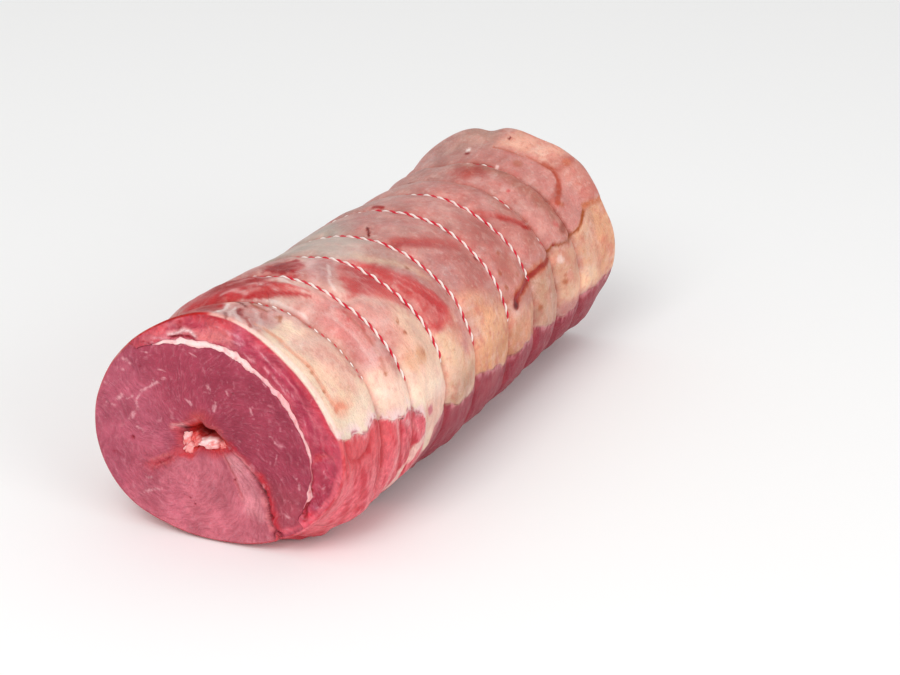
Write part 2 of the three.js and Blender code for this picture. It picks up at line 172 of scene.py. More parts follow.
def away_from(u, v, points):
    """Distance in the units of u and v from a line through points."""
    best = np.full(np.broadcast(u, v).shape, 1e9)
    for (u0, v0), (u1, v1) in zip(points, points[1:]):
        du, dv = u1 - u0, v1 - v0
        t = np.clip(((u - u0) * du + (v - v0) * dv) / (du * du + dv * dv), 0, 1)
        best = np.minimum(best, np.hypot(u - u0 - t * du, v - v0 - t * dv))
    return best


def ridge(u, v, points, width):
    """1 on a line through points, falling away beside it."""
    return bell(away_from(u, v, points), width)


def inside(u, v, corners):
    """Distance inside a closed outline, negative outside it."""
    within = np.zeros(np.broadcast(u, v).shape, bool)
    for (u0, v0), (u1, v1) in zip(corners, corners[1:] + corners[:1]):
        if v0 != v1:
            within ^= ((v0 > v) != (v1 > v)) & (u < (u1 - u0) * (v - v0) / (v1 - v0) + u0)
    return np.where(within, 1, -1) * away_from(u, v, corners + corners[:1])


def turned(u, v, degrees):
    c, s = math.cos(math.radians(degrees)), math.sin(math.radians(degrees))
    return c * u - s * v, s * u + c * v


def rect(low_u, high_u, low_v, high_v):
    return [(low_u, low_v), (high_u, low_v), (high_u, high_v), (low_u, high_v)]


def in_mm(points):
    """Points on the skin, given by angle and f, in millimetres."""
    return [(angle * ROUND_MM, f) for angle, f in points]


def wall_clock(theta):
    """Degrees from -90 to 270, so that the underside's middle is the only jump."""
    return np.mod(np.degrees(theta) + 90, 360) - 90


def turn_from(theta, angle):
    return np.mod(np.degrees(theta) - angle + 180, 360) - 180


def between(angle, span):
    return (angle > span[0]) & (angle < span[1])


def span_fade(angle, span, soft, start=0):
    """1 within a span of angles, falling to 0 at its two ends."""
    return smooth((angle - span[0]) / soft + start) * smooth((span[1] - angle) / soft + start)


def to_end(f):
    return np.minimum(f, LENGTH - f)


girth, bow = through(GIRTH), through(BOW)
front_outline, back_outline = around(FRONT_OUTLINE), around(BACK_OUTLINE)
softness = around(SOFTNESS)
seam_depth, seam_half = through(SEAM_DEPTH), through(SEAM_HALF)
cover_lower_base, cover_upper_base = through(COVER_LOWER), through(COVER_UPPER)


def section_xz(theta, radius, f):
    return bow(f) + radius * np.cos(theta), AXIS_HEIGHT * girth(f) + radius * np.sin(theta)


def on_section(theta, radius, f):
    """Points (x, f, z) at a radius around the axis."""
    x, z = section_xz(theta, radius, f)
    return np.stack(np.broadcast_arrays(x, f, z), -1)


def outwards(theta):
    return np.stack([np.cos(theta), 0 * theta, np.sin(theta)], -1)


def to_part(x, f, z):
    """Points in the part's own frame, in metres."""
    return np.stack([x + SIDE_SHIFT, f - LENGTH / 2, z], -1) * MM


# The roll's skin

def body_outline(theta):
    across, up = np.abs(np.cos(theta)), np.sin(theta)
    rise = np.where(up >= 0, CROWN, BELLY)
    power = np.where(up >= 0, CROWN_POWER, BELLY_POWER)
    return ((across / HALF_WIDTH) ** power + (np.abs(up) / rise) ** power) ** (-1 / power)


def pillow(f):
    """How far the flesh swells between two strings."""
    total = np.zeros_like(f)
    for a, b in zip(LOOPS, LOOPS[1:]):
        span = b.at - a.at
        share = np.clip((f - a.at) / span, 0, 1)
        total = total + PILLOW * np.sin(math.pi * share) ** 2 * min(1, span / 30)
    return total


def above_floor(radius, theta, f, below):
    """The radius, cut down to the floor where the sine of the angle is below a value."""
    down = np.maximum(-np.sin(theta), 1e-6)
    return np.where(np.sin(theta) < below, np.minimum(radius, AXIS_HEIGHT * girth(f) / down), radius)


def flesh(theta, f):
    theta, f = np.broadcast_arrays(np.asarray(theta, float), np.asarray(f, float))
    proud = GROOVE_DEPTH - .3 - STRING_RADIUS + pillow(f)
    radius = body_outline(theta) * girth(f) + proud * softness(theta)
    for at, angle, rise, along, spread in SWELLS:
        radius = radius + rise * bell(f - at, along) * bell(turn_from(theta, angle), spread)
    radius = mix(front_outline(theta), radius, smooth(f / END_BLEND))
    radius = mix(back_outline(theta), radius, smooth((LENGTH - f) / END_BLEND))
    return above_floor(radius, theta, f, 0)


def shown(theta, loop):
    """1 where a string lies on the skin, 0 where the flesh has closed over it."""
    angle = wall_clock(theta)
    angle = angle + 1.5 * value_noise(angle / 4, loop.at, 21)
    return np.max([span_fade(angle, span, 4, .5) for span in loop.spans], 0)


def groove(theta, f):
    """Depth of the grooves that the strings press in. A loop that has sunk lies in a wider valley."""
    total = 0
    s = np.degrees(theta) * ROUND_MM
    for loop in LOOPS:
        width = (GROOVE_WIDTH + .5 * loop.sunk) * (1 + .25 * value_noise(s / 14, loop.at, 22))
        deep = GROOVE_DEPTH + loop.sunk + .35 * value_noise(s / 9, loop.at, 23)
        valley = width * (1.5 + .22 * loop.sunk)
        total = total + deep * (.66 * bell(f - loop.at, valley) + .34 * bell(f - loop.at, .55 * width))
    return total


def pucker(s, f, loop):
    """Small folds that run across a string, from -1 to 1."""
    return value_noise(s / 5.2, loop.at + f / 22, 41)


# Ridges and dents, placed one by one: angle, f, size around, size along, turn in degrees, rise
BUMPS = [
    (97, 328, 7, 16, 0, -2.6), (113, 324, 8, 14, 0, .3), (50, 330, 30, 14, 0, -.8), (30, 305, 14, 9, 20, .6),
    (55, 283, 22, 6, 0, .6), (98, 30, 12, 9, 20, -1.2), (84, 26, 6, 10, -20, -.8), (104, 52, 10, 6, 0, -.8),
    (75, 53, 26, 4, 0, .7), (30, 52, 16, 4.5, 0, .5), (98, 80, 7, 12, 0, -.9), (60, 88, 16, 8, -30, .7),
    (40, 122, 18, 10, -25, .8), (22, 165, 10, 16, 0, .7), (70, 166, 20, 12, -10, .6),
    (48, 210, 22, 12, 0, .8), (85, 212, 14, 12, 0, .5), (40, 250, 18, 11, -15, .9), (78, 250, 16, 10, 0, .6),
    (8, 28, 7, 14, 0, .8), (-10, 20, 8, 9, 0, .8), (-27, 29, 8, 8, 0, 2.3), (-41, 24, 7, 8, 0, -2.2),
    (-34, 75, 12, 10, 0, -1.6), (-27, 106, 12, 16, 0, -1.8), (-10, 66, 8, 7, 0, .7), (-4, 44, 8, 5, 0, .6),
    (134, 306, 15, 24, 0, 2.2), (71, 329, 12, 14, 0, -1.8), (46, 329, 7, 12, 0, .9),
    (25, 329, 9, 12, 0, -1.4), (142, 50, 12, 12, 0, 1.6), (124, 72, 9, 10, 0, -1.2),
]
# Furrows between the strips of muscle on the lower right: points as (angle, f)
FURROWS = [
    [(11, 4), (6, 3.8), (2, 6.5), (0, 13), (1.6, 20), (5, 23.4), (9, 25)],
    [(8, 37), (-12, 37.5), (-30, 35), (-46, 31)],
    [(6, 49), (-10, 50), (-18, 51)],
    [(8, 30), (-2, 32), (-14, 31), (-26, 29)],
    [(-16, 20), (-30, 17), (-50, 15)],
    [(2, 54), (-6, 58), (-12, 62)],
    [(-18, 10), (-34, 8), (-50, 7)],
]
FURROW_DEPTHS, FURROW_WIDTH = [1, 1.1, .9, .6, .6, .8, .7], 1.5
# Folds over the two sunken strings, and a nick beside the front's top
SEVENTH_FOLD = [(100, 265), (60, 264.5), (20, 265), (2, 265)]
EIGHTH_FOLD = [(100, 293.6), (70, 293.6), (40, 294), (23, 293.6)]
NICK = [(78, 27), (84, 29), (90, 34)]
# Creases in the membrane: points, depth and width
CREASES = [
    (EIGHTH_FOLD, .9, 1.4), (SEVENTH_FOLD, .8, 1.4),
    ([(41, 296), (43, 302), (46.6, 308), (50, 312), (58, 313), (72, 311), (88, 311)], .8, 1.3),
    ([(59, 231), (55, 236), (51, 241), (46, 246), (40, 250)], .6, 2.2),
    ([(14, 201), (17, 212), (19.6, 224), (20.4, 240), (20.4, 250), (22, 264)], .8, 1.6),
    ([(23.6, 268), (22, 284), (23, 300), (29, 311), (31, 313), (29, 330)], .8, 1.3),
    ([(24, 8), (30, 6.5), (40, 8), (56, 7), (74, 8)], .5, 1.8), (NICK, .8, 1.0),
    ([(84, 12), (87, 18), (88, 22)], .8, 1.0), ([(72, 4), (77, 10), (80, 18)], .6, 1.2),
    ([(92, 4), (96, 14), (100, 24)], .7, 1.3), ([(70, 148), (62, 160), (52, 177)], .5, 2.6),
    ([(104, 40), (96, 46), (88, 53), (78, 56)], .8, 1.6), ([(88, 66), (84, 76), (86, 90)], .6, 1.3),
    ([(102, 66), (104, 78), (99, 92)], .8, 1.3), ([(34, 50), (44, 56), (58, 55), (70, 58)], .5, 1.6),
    ([(34, 84), (44, 78), (56, 73)], .5, 1.8),
]


def relief(theta, f):
    """Small rises and dents of the skin in millimetres."""
    angle = wall_clock(theta)
    s = angle * ROUND_MM
    rise = .5 * fbm(s, f, 34, 31) + .16 * fbm(s, f, 9, 35, 2)
    for loop in LOOPS:
        near = bell(f - loop.at, 8) - .6 * bell(f - loop.at, 2.4)
        rise = rise + .6 * near * pucker(s, f, loop)
    for points, depth in zip(FURROWS, FURROW_DEPTHS):
        rise = rise - depth * ridge(s, f, in_mm(points), FURROW_WIDTH)
    shaken = (angle + 1.2 * value_noise(f / 6, angle / 8, 43)) * ROUND_MM
    for points, depth, width in CREASES:
        away = away_from(shaken, f, in_mm(points))
        rise = rise - depth * (bell(away, width) - .45 * bell(away, 3 * width))
    lean = smooth((6 - angle) / 6) * smooth((angle + 60) / 8)  # bare muscle, with its strands
    rise = rise + .3 * lean * fbm(s / 7, f + .3 * angle, 2.4, 45, 2)
    rise = rise + .5 * lean * smooth((-12 - angle) / 20) * value_noise(s / 16, (f + .3 * angle) / 4.4, 47)
    rise = rise * mix(.35, 1, smooth(to_end(f) / 6))
    for at_angle, at, size_around, size_along, turn, height in BUMPS:
        u, v = turned((angle - at_angle) * ROUND_MM, f - at, -turn)
        rise = rise + height * bell(np.hypot(u / size_around, v / size_along), 1)
    bottom = smooth((-np.sin(theta) - .82) / .12)
    return rise * (1 - bottom)


def end_fillet(f):
    share = np.clip(1 - to_end(f) / END_ROUNDING, 0, 1)
    return END_ROUNDING * (1 - np.sqrt(1 - share ** 2 + 1e-9))


def skin(theta, f):
    radius = flesh(theta, f) - groove(theta, f) + relief(theta, f) - end_fillet(f)
    return above_floor(radius, theta, f, -.3)


def cover_lower(f):
    return cover_lower_base(f) + 1.3 * value_noise(f / 4.3, 0, 51) + .5 * value_noise(f / 2.7, 4, 52)


def cover_upper(f):
    return cover_upper_base(f) + 2.0 * value_noise(f / 4.5, 2, 53)


def under_cover(theta, f):
    angle = wall_clock(theta)
    return np.minimum(angle - cover_lower(f), cover_upper(f) - angle) > 0


def cover_depth(theta, f):
    """Thickness of the cover: thin at the cut and along its edges, and far more gently so at the top."""
    angle = wall_clock(theta)
    from_lower = [(angle - cover_lower(f + k)) * ROUND_MM + abs(k) for k in (-6, -4, -2, 0, 2, 4, 6)]
    from_lower = np.min(from_lower, 0)
    from_upper = (cover_upper(f) - angle) * ROUND_MM
    full = COVER_EDGE + (COVER_THICKNESS - COVER_EDGE) * smooth(from_lower / 7) * smooth(from_upper / 30)
    full = full * mix(.55, 1, smooth(to_end(f) / 12))
    return np.where(np.minimum(from_lower, from_upper) > 0, full, 0)


def below_cover(theta, f, clearance):
    return skin(theta, f) - cover_depth(theta, f) - clearance * under_cover(theta, f)


def seam_middle(theta, f):
    return flesh(theta, f) - seam_depth(wall_clock(theta))


def seam_edge(theta, f, side):
    """Radius of the seam's outer (1) or inner (-1) surface."""
    angle = wall_clock(theta)
    s = angle * ROUND_MM
    ragged = 1 + .34 * value_noise(s / 4.3, f / 60 + 5 * side, 61)
    ragged = ragged + .17 * value_noise(s / 1.3, f / 30 + 3 * side, 62)
    ragged = mix(1, ragged, span_fade(angle, SEAM_SPAN, 5))
    return seam_middle(theta, f) + side * seam_half(angle) * ragged


def beside_seam(theta, f, side):
    """Radius of the muscle's surface outside (1) or inside (-1) the seam."""
    seam = np.where(between(wall_clock(theta), SEAM_SPAN), seam_edge(theta, f, side), seam_middle(theta, f))
    return seam + side * LAYER_GAP


# Colour. A tone is sRGB from 0 to 255 as it looks in a plain light. new_piece() turns it to a surface colour.

CREAM, CREAM_PALE, CREAM_TAN = (245, 212, 187), (250, 226, 204), (238, 195, 163)
ORANGE, ORANGE_DEEP, TAN = (232, 174, 138), (212, 150, 114), (190, 148, 126)
MAUVE, PINK, PALE_PINK = (200, 141, 135), (208, 143, 135), (232, 186, 174)
ROSE, SALMON, LILAC = (222, 154, 150), (230, 162, 138), (206, 160, 162)
GREY, WHITE, RED = (186, 172, 160), (250, 232, 226), (208, 86, 86)
DEEP_RED, DARK_RED, BROWN = (184, 62, 66), (140, 44, 40), (168, 92, 66)
BLACKISH, MUSCLE_SIDE, PURPLE = (120, 26, 22), (236, 124, 134), (138, 66, 76)
FACE_DARK, FACE_PINK, FACE_WEDGE = (163, 80, 95), (204, 120, 132), (230, 154, 162)
FACE_OUTER, FACE_HALO, FAT_WHITE = (192, 90, 104), (212, 94, 98), (248, 216, 212)
THREAD, STREAK = (240, 200, 196), (236, 170, 164)
GLOSS, LIGHT = .045, .95  # what the wet surface adds to every colour, and how bright the studio is


def rgb(tone):
    return np.array(tone, float) / 255


def plain(tone, like):
    """One tone at every point of an array."""
    return np.broadcast_to(rgb(tone), like.shape + (3,))


def lay(base, *layers):
    """Lays tones over a colour, each as a pair of tone and amount."""
    for tone, amount in layers:
        base = base + (rgb(tone) - base) * np.clip(amount, 0, 1)[..., None]
    return base


def shaded(colour, amount):
    return colour * (1 + amount)[..., None]


def seen_to_surface(colour):
    """Linear surface colour of something that looks like this sRGB colour under the studio's light."""
    colour = np.clip(colour, 0, 1)
    seen = np.where(colour <= .04045, colour / 12.92, ((colour + .055) / 1.055) ** 2.4)
    return np.clip((seen - GLOSS) / LIGHT, .004, .96)


def fields(colour, u, v, table):
    for tone, corners, strength, soft in table:
        colour = lay(colour, (tone, strength * smooth(.5 + inside(u, v, corners) / (2 * soft))))
    return colour


def strokes(colour, u, v, table):
    for tone, points, width, strength in table:
        colour = lay(colour, (tone, strength * ridge(u, v, points, width)))
    return colour


def on_skin(table):
    """A table of marks on the skin, with its points in millimetres."""
    return [(tone, in_mm(points), *rest) for tone, points, *rest in table]


# Fields of colour on the skin: tone, corners as (angle, f), strength, softness in mm
FIELDS = [
    # From the front to the third string
    (PALE_PINK, [(-30, -9), (110, -9), (104, 60), (100, 104), (-30, 104)], 1, 5),
    (CREAM, [(-30, -9), (70, -9), (72, 22), (60, 34), (30, 37), (27, 60), (30, 66), (36, 78), (46, 90),
             (34, 104), (-30, 104)], .95, 5),
    (CREAM_PALE, [(-25, 2), (21, 2), (24, 36), (22, 62), (18, 72), (17, 100), (-6, 102)], .7, 6),
    ((244, 196, 176), [(22, 38), (32, 38), (30, 62), (22, 62)], .5, 5),
    ((226, 170, 156), [(-10, 74), (2, 70), (6, 88), (4, 104), (-10, 104)], .6, 4),
    ((232, 172, 152), [(24, 66), (40, 66), (38, 82), (24, 80)], .45, 5),
    (CREAM_TAN, [(26, 9), (44, 9), (44, 30), (26, 32)], .4, 6),
    (ROSE, [(38, 14), (58, 14), (60, 34), (30, 36), (28, 26)], .4, 7),
    (ROSE, [(30, 38), (60, 40), (66, 50), (60, 63), (28, 63)], .8, 5),
    (PINK, [(24, 50), (58, 51), (60, 63), (22, 63)], .6, 4),
    (RED, [(40, 54), (56, 53), (58, 60), (42, 62)], .35, 4),
    (ROSE, [(31, 66), (58, 65), (56, 74), (44, 80), (33, 77)], .65, 5),
    (PALE_PINK, [(64, 64), (82, 64), (92, 100), (78, 104), (72, 84)], .8, 4),
    (LILAC, [(70, 72), (84, 70), (92, 98), (80, 102)], .6, 5),
    # From there to the fourth, with the grey top behind it
    (CREAM_TAN, [(-12, 104), (27, 104), (22, 118), (13, 130), (10, 144), (-12, 144)], .95, 5),
    (TAN, [(-12, 106), (3, 106), (9, 144), (-12, 144)], .75, 7),
    (PINK, [(10, 128), (50, 127), (80, 112), (86, 114), (82, 143), (10, 144)], .8, 6),
    (CREAM_TAN, [(46, 133), (60, 121), (74, 109), (82, 108), (80, 114), (66, 125), (52, 137)], .7, 4),
    (GREY, [(82, 105), (122, 100), (160, 110), (160, 186), (116, 180), (98, 152), (84, 140)], .9, 12),
    (GREY, [(60, 118), (90, 108), (90, 140), (56, 138)], .4, 8),
    # To the fifth
    (ORANGE, [(-12, 145), (31, 145), (30, 160), (24, 172), (19, 190), (-12, 190)], .95, 12),
    (ORANGE_DEEP, [(-12, 150), (6, 150), (8, 190), (-12, 190)], .85, 9),
    ((198, 144, 140), [(36, 146), (62, 146), (54, 168), (34, 166)], .7, 8),
    (PINK, [(46, 168), (92, 150), (96, 190), (40, 190)], .6, 8),
    # To the sixth
    (ORANGE_DEEP, [(-12, 191), (7, 191), (9, 229), (-12, 229)], .7, 5),
    (CREAM_TAN, [(4, 191), (11, 191), (11, 229), (6, 229)], .35, 5),
    ((186, 108, 86), [(11, 192), (21, 192), (22, 229), (12, 229)], .45, 4),
    (PINK, [(18, 192), (92, 192), (92, 229), (20, 229)], .8, 8),
    # To the seventh
    (TAN, rect(-12, 19, 230, 263), .85, 8),
    (ORANGE, [(3, 232), (17, 232), (18, 246), (4, 246)], .3, 6),
    (PINK, [(24, 231), (88, 231), (92, 262), (24, 262)], .9, 7),
    # Painted shade where the skin turns away from the light before the seventh string
    ((188, 124, 112), [(26, 248), (88, 246), (88, 264), (26, 264)], .5, 5),
    # To the eighth
    (CREAM_TAN, [(-6, 266), (21, 265), (21, 293), (-6, 293)], .8, 5),
    (PINK, rect(24, 74, 266, 278), .9, 5),
    # Painted shade where the skin turns away from the light before the eighth string
    ((188, 122, 108), rect(24, 100, 279, 293), .85, 5),
    # And to the back
    (CREAM_TAN, [(-6, 294), (22, 294), (28, 311), (-6, 311)], .95, 3),
    (PINK, [(25, 295), (96, 295), (96, 311), (30, 311)], .8, 4),
    (ORANGE, [(-6, 312), (30, 312), (29, 336), (-6, 336)], .85, 3),
    ((210, 144, 132), rect(32, 56, 313, 336), .9, 3),
    ((228, 168, 147), [(55, 314), (87, 313), (84, 336), (55, 336)], .85, 4),
    ((197, 154, 138), [(88, 312), (112, 310), (112, 336), (88, 336)], .7, 6),
    ((190, 150, 140), [(96, 186), (170, 186), (170, 336), (100, 336)], .55, 14),
    # Bare muscle and torn membrane on the top, near the front
    (DEEP_RED, [(74, 46), (90, 38), (103, 34), (125, 30), (140, 50), (130, 64), (88, 64), (94, 55)], .9, 2.6),
    (RED, [(72, 48), (86, 42), (96, 40), (90, 50), (76, 53)], .6, 2),
    (DARK_RED, [(96, 52), (120, 46), (124, 63), (98, 63)], .4, 4),
    ((210, 172, 170), [(74, 2), (90, 2), (96, 26), (94, 33), (72, 34), (70, 14)], .65, 5),
    ((190, 112, 108), [(84, 20), (94, 26), (96, 36), (82, 34)], .5, 4),
    (DEEP_RED, [(90, -6), (140, -6), (140, 36), (105, 36), (97, 24), (93, 10)], 1, 2.4),
    ((172, 30, 32), [(94, -6), (140, -6), (140, 34), (106, 34), (98, 16)], .75, 3),
    (DEEP_RED, [(83, 66), (102, 66), (104, 76), (101, 88), (98, 94), (91, 87), (85, 76)], .95, 2.4),
    (DARK_RED, [(88, 68), (101, 68), (102, 82), (96, 88)], .5, 3),
    ((206, 120, 118), [(76, 67), (84, 67), (88, 82), (84, 84)], .4, 3),
    # The long red patch on both sides of the third string
    (RED, [(60, 70), (66, 76), (72, 84), (76, 93), (79, 103), (60, 103.5), (38, 103.5), (45, 95), (52, 87),
           (57, 79)], .85, 3),
    (DEEP_RED, [(58, 84), (66, 84), (72, 98), (56, 102), (50, 94)], .4, 4),
    (RED, [(26, 106), (45, 104.5), (60, 104.5), (78, 105), (72, 109), (66, 113), (58, 117), (48, 123),
           (40, 127), (30, 128), (24, 121), (25, 112)], .85, 3),
    (SALMON, [(18, 118), (26, 116), (30, 130), (18, 131), (15, 124)], .6, 4),
    (DEEP_RED, [(32, 115), (44, 111), (46, 119), (38, 125), (30, 122)], .35, 4),
    ((232, 168, 160), [(30, 106), (42, 105), (40, 109), (30, 112)], .4, 2),
    # Spots near the back
    ((184, 90, 82), [(75, 279), (82, 274), (89, 268), (97, 271), (98, 277), (88, 280), (84, 283)], .5, 4),
    ((176, 70, 62), [(80, 276), (88, 273), (90, 278), (82, 280)], .4, 2.5),
    ((190, 92, 82), [(83, 280), (87, 280), (94, 292), (90, 294)], .4, 3),
    ((240, 196, 176), [(60, 315), (70, 314), (68, 320), (60, 321)], .5, 2),
    ((240, 196, 176), [(76, 315), (83, 315), (80, 324), (74, 322)], .4, 2),
    # Weak shades over whole areas, and lighter or darker spots
    ((212, 124, 120), rect(36, 72, 38, 61), .32, 5),
    ((186, 100, 92), rect(38, 56, 190, 262), .25, 6),
    ((184, 104, 100), rect(70, 88, 66, 100), .28, 5),
    ((230, 206, 196), [(72, 106), (104, 106), (104, 140), (80, 140)], .4, 6),
    ((216, 150, 144), rect(72, 98, 2, 31), .45, 4),
    ((236, 184, 170), rect(10, 26, 38, 62), .5, 4),
    ((226, 144, 126), rect(10, 56, 66, 100), .2, 5),
    ((186, 116, 98), rect(2, 24, 266, 311), .28, 4),
    ((180, 100, 94), rect(20, 74, 146, 190), .16, 6),
    ((182, 104, 98), [(41, 204), (54, 200), (56, 216), (50, 226), (42, 226)], .5, 4),
    ((180, 104, 88), [(22, 199), (34, 200), (36, 216), (24, 222)], .4, 4),
    ((180, 104, 96), [(30, 160), (46, 158), (50, 186), (26, 186)], .35, 5),
    ((226, 176, 166), [(68, 158), (76, 150), (80, 160), (72, 180), (66, 178)], .45, 4),
    ((226, 172, 162), [(60, 196), (74, 196), (72, 214), (62, 212)], .4, 4),
    ((174, 96, 92), [(66, 238), (72, 236), (74, 262), (64, 262)], .4, 3),
    ((176, 98, 84), [(29, 238), (38, 240), (36, 252), (28, 250)], .4, 3),
]
# Lines on the skin: tone, points, half width, strength
LINES = [
    # Along the front edge: an orange line, partly the fat's own tone, partly painted shade in a crease
    (SALMON, [(24, 8), (30, 6.5), (40, 8), (46, 8.5), (56, 7), (66, 8.5), (74, 8)], 1.3, .8),
    ((214, 108, 88), [(23.6, 7), (24.6, 10), (23.8, 12.5)], 1.5, .6),
    (SALMON, [(23, 13), (22.5, 18)], 1.2, .4),
    # The long vein on the right, from the fifth string to the back
    ((112, 22, 18), [(12.4, 199.2), (14.2, 200.4), (16, 203.4)], 2.3, 1),
    ((192, 106, 82), [(16, 204), (17.4, 212), (19, 221)], 3.4, .8),
    ((196, 106, 80), [(18.8, 230), (20.2, 238), (20.2, 246)], 3.4, .85),
    ((158, 60, 42), [(15.6, 202), (16.6, 210), (18, 217), (19.2, 223), (18.8, 229)], 2.0, .9),
    ((160, 66, 44), [(18.6, 232), (20, 240), (20, 250), (21.4, 256), (21, 263)], 1.6, .95),
    ((160, 88, 60), [(22, 264), (23.6, 268), (22.6, 276), (22, 284), (22, 292), (23, 300), (26, 306),
                     (29, 311)], .9, .9),
    ((200, 118, 88), [(31, 312), (30.4, 318), (29, 325), (29, 332)], 1.5, .8),
    # Veins and folds between the sixth string and the back
    ((198, 92, 88), [(60, 231), (55, 236), (51, 240), (47, 244), (42, 249)], 3.2, .6),
    ((180, 66, 62), [(54, 237), (49, 242), (44, 247), (39, 250)], 1.8, .55),
    ((172, 58, 54), [(40, 248), (38.2, 254), (37.8, 263)], 1.7, .75),
    ((180, 74, 70), [(42, 250), (42.4, 256), (42.4, 263)], 1.5, .5),
    ((186, 96, 88), [(53, 252), (53, 263)], 1.4, .35), ((186, 96, 88), [(30, 254), (30, 263)], 1.2, .3),
    ((178, 88, 74), [(39, 297), (42, 301), (45, 307), (48, 310), (53, 312.6), (60, 313)], 1.4, .85),
    ((176, 92, 80), [(42, 297), (43, 302), (45.6, 306.5)], 2.6, .5),
    ((176, 84, 78), [(76, 275), (81, 277), (84, 283), (86.4, 292)], 2.8, .5),
    ((188, 102, 90), [(52, 314), (51.4, 326)], 1.5, .45),
    ((190, 110, 92), [(58, 313), (72, 311), (88, 311)], .7, .6),
    # Veins and streaks between the fourth string and the seventh
    ((190, 96, 92), [(70, 148), (66, 153), (62, 160), (57, 168), (52, 179)], 4.6, .68),
    ((184, 78, 80), [(69, 148), (65, 154), (60, 163)], 2.2, .4),
    ((184, 104, 98), [(51, 160), (47, 168), (44, 178)], 2.8, .45),
    ((190, 108, 102), [(64, 206), (56, 214), (50, 224)], 3, .3),
    ((188, 104, 94), [(36, 200), (34, 210), (37, 222)], 2.6, .3),
    ((190, 104, 98), [(58, 218), (58, 229)], 2, .4), ((190, 104, 98), [(72, 214), (70, 229)], 1.8, .35),
    ((226, 172, 166), [(50, 234), (60, 240), (68, 252)], 3, .3),
    (ROSE, [(84, 160), (76, 172), (70, 184)], 2.6, .3),
    # Dark clots, and folds with painted shade along them, with those over the two sunken strings
    (BLACKISH, [(84.2, 147), (86, 150), (89, 155)], .7, 1),
    ((160, 64, 62), [(99, 193.6), (104, 194.4)], 1.5, .9),
    (BLACKISH, [(114, 267), (117, 268.5), (121, 270)], .9, .9),
    ((150, 82, 72), [(28, 282), (28.6, 292.5)], 2.2, .65), ((140, 84, 74), EIGHTH_FOLD, .6, .6),
    ((166, 104, 90), SEVENTH_FOLD, .6, .55),
    # Pale threads on the top, all but one near the front
    (WHITE, [(62, 38), (84, 39), (98, 36)], .9, .55), (WHITE, [(74, 52), (88, 56), (84, 62)], 1.2, .5),
    (WHITE, [(66, 68), (72, 74), (80, 90)], .9, .5), (WHITE, [(90, 6), (94, 18), (98, 28)], 1.1, .75),
    (WHITE, [(84, 4), (88, 12), (92, 24)], .7, .5), (WHITE, [(76, 6), (79, 12)], .8, .4),
    ((240, 204, 200), [(76, 66), (86, 84), (92, 98)], 2.4, .32), (WHITE, [(92, 287), (94, 291)], .8, .6),
    (THREAD, [(96, 40), (104, 44), (110, 42)], 1.4, .45), (THREAD, [(84, 47), (92, 50), (100, 49)], 1.2, .4),
    (THREAD, [(90, 60), (100, 58), (112, 54)], 1.2, .4),
    ((240, 204, 200), [(85, 70), (84, 78), (88, 88)], 2.0, .35),
    # Folds and threads between the front and the second string
    ((176, 84, 82), [(80, 8), (84, 13), (88, 21)], 1.5, .6),
    ((150, 66, 66), [(83, 11), (87, 17), (89.4, 22.5)], 1.3, .75),
    ((170, 74, 72), [(74, 2), (78, 8), (80, 12)], 1.0, .6),
    ((196, 108, 100), [(76, 20), (80, 26), (88, 30)], 2.0, .4),
    ((130, 70, 68), [(84, 1), (86, 4), (88, 8)], .9, .6),
    ((120, 60, 56), [(88, 26), (92, 30), (97, 33)], .8, .8),
    ((150, 44, 42), [(76, 30), (84, 35), (104, 36)], .8, .5),
    ((236, 214, 210), [(79, 3), (85, 10), (91, 21)], 1.1, .55),
    ((236, 210, 206), [(72, 8), (76, 16), (84, 26)], 1.2, .4),
    ((236, 206, 202), [(74, 31), (84, 33), (94, 33)], 1.2, .4),
    ((214, 172, 166), [(63, 26), (66, 34)], 2.4, .4), (BROWN, NICK, .8, .6),
    (BROWN, [(70, 22), (72, 27)], 1.0, .45), ((196, 124, 110), [(26, 48), (38, 53), (54, 55)], 1.2, .5),
    ((240, 196, 190), [(30, 45), (46, 47), (60, 46)], .9, .45),
    (DEEP_RED, [(70, 50), (80, 46), (92, 41)], 1.1, .6), (RED, [(72, 53), (82, 51), (92, 46)], 1.0, .5),
    # Pale streaks on the long red patch
    (STREAK, [(48, 93), (56, 88), (64, 86)], .8, .3), (STREAK, [(30, 118), (40, 114), (54, 110)], .8, .35),
    (STREAK, [(36, 124), (46, 119), (58, 113)], .7, .3),
]
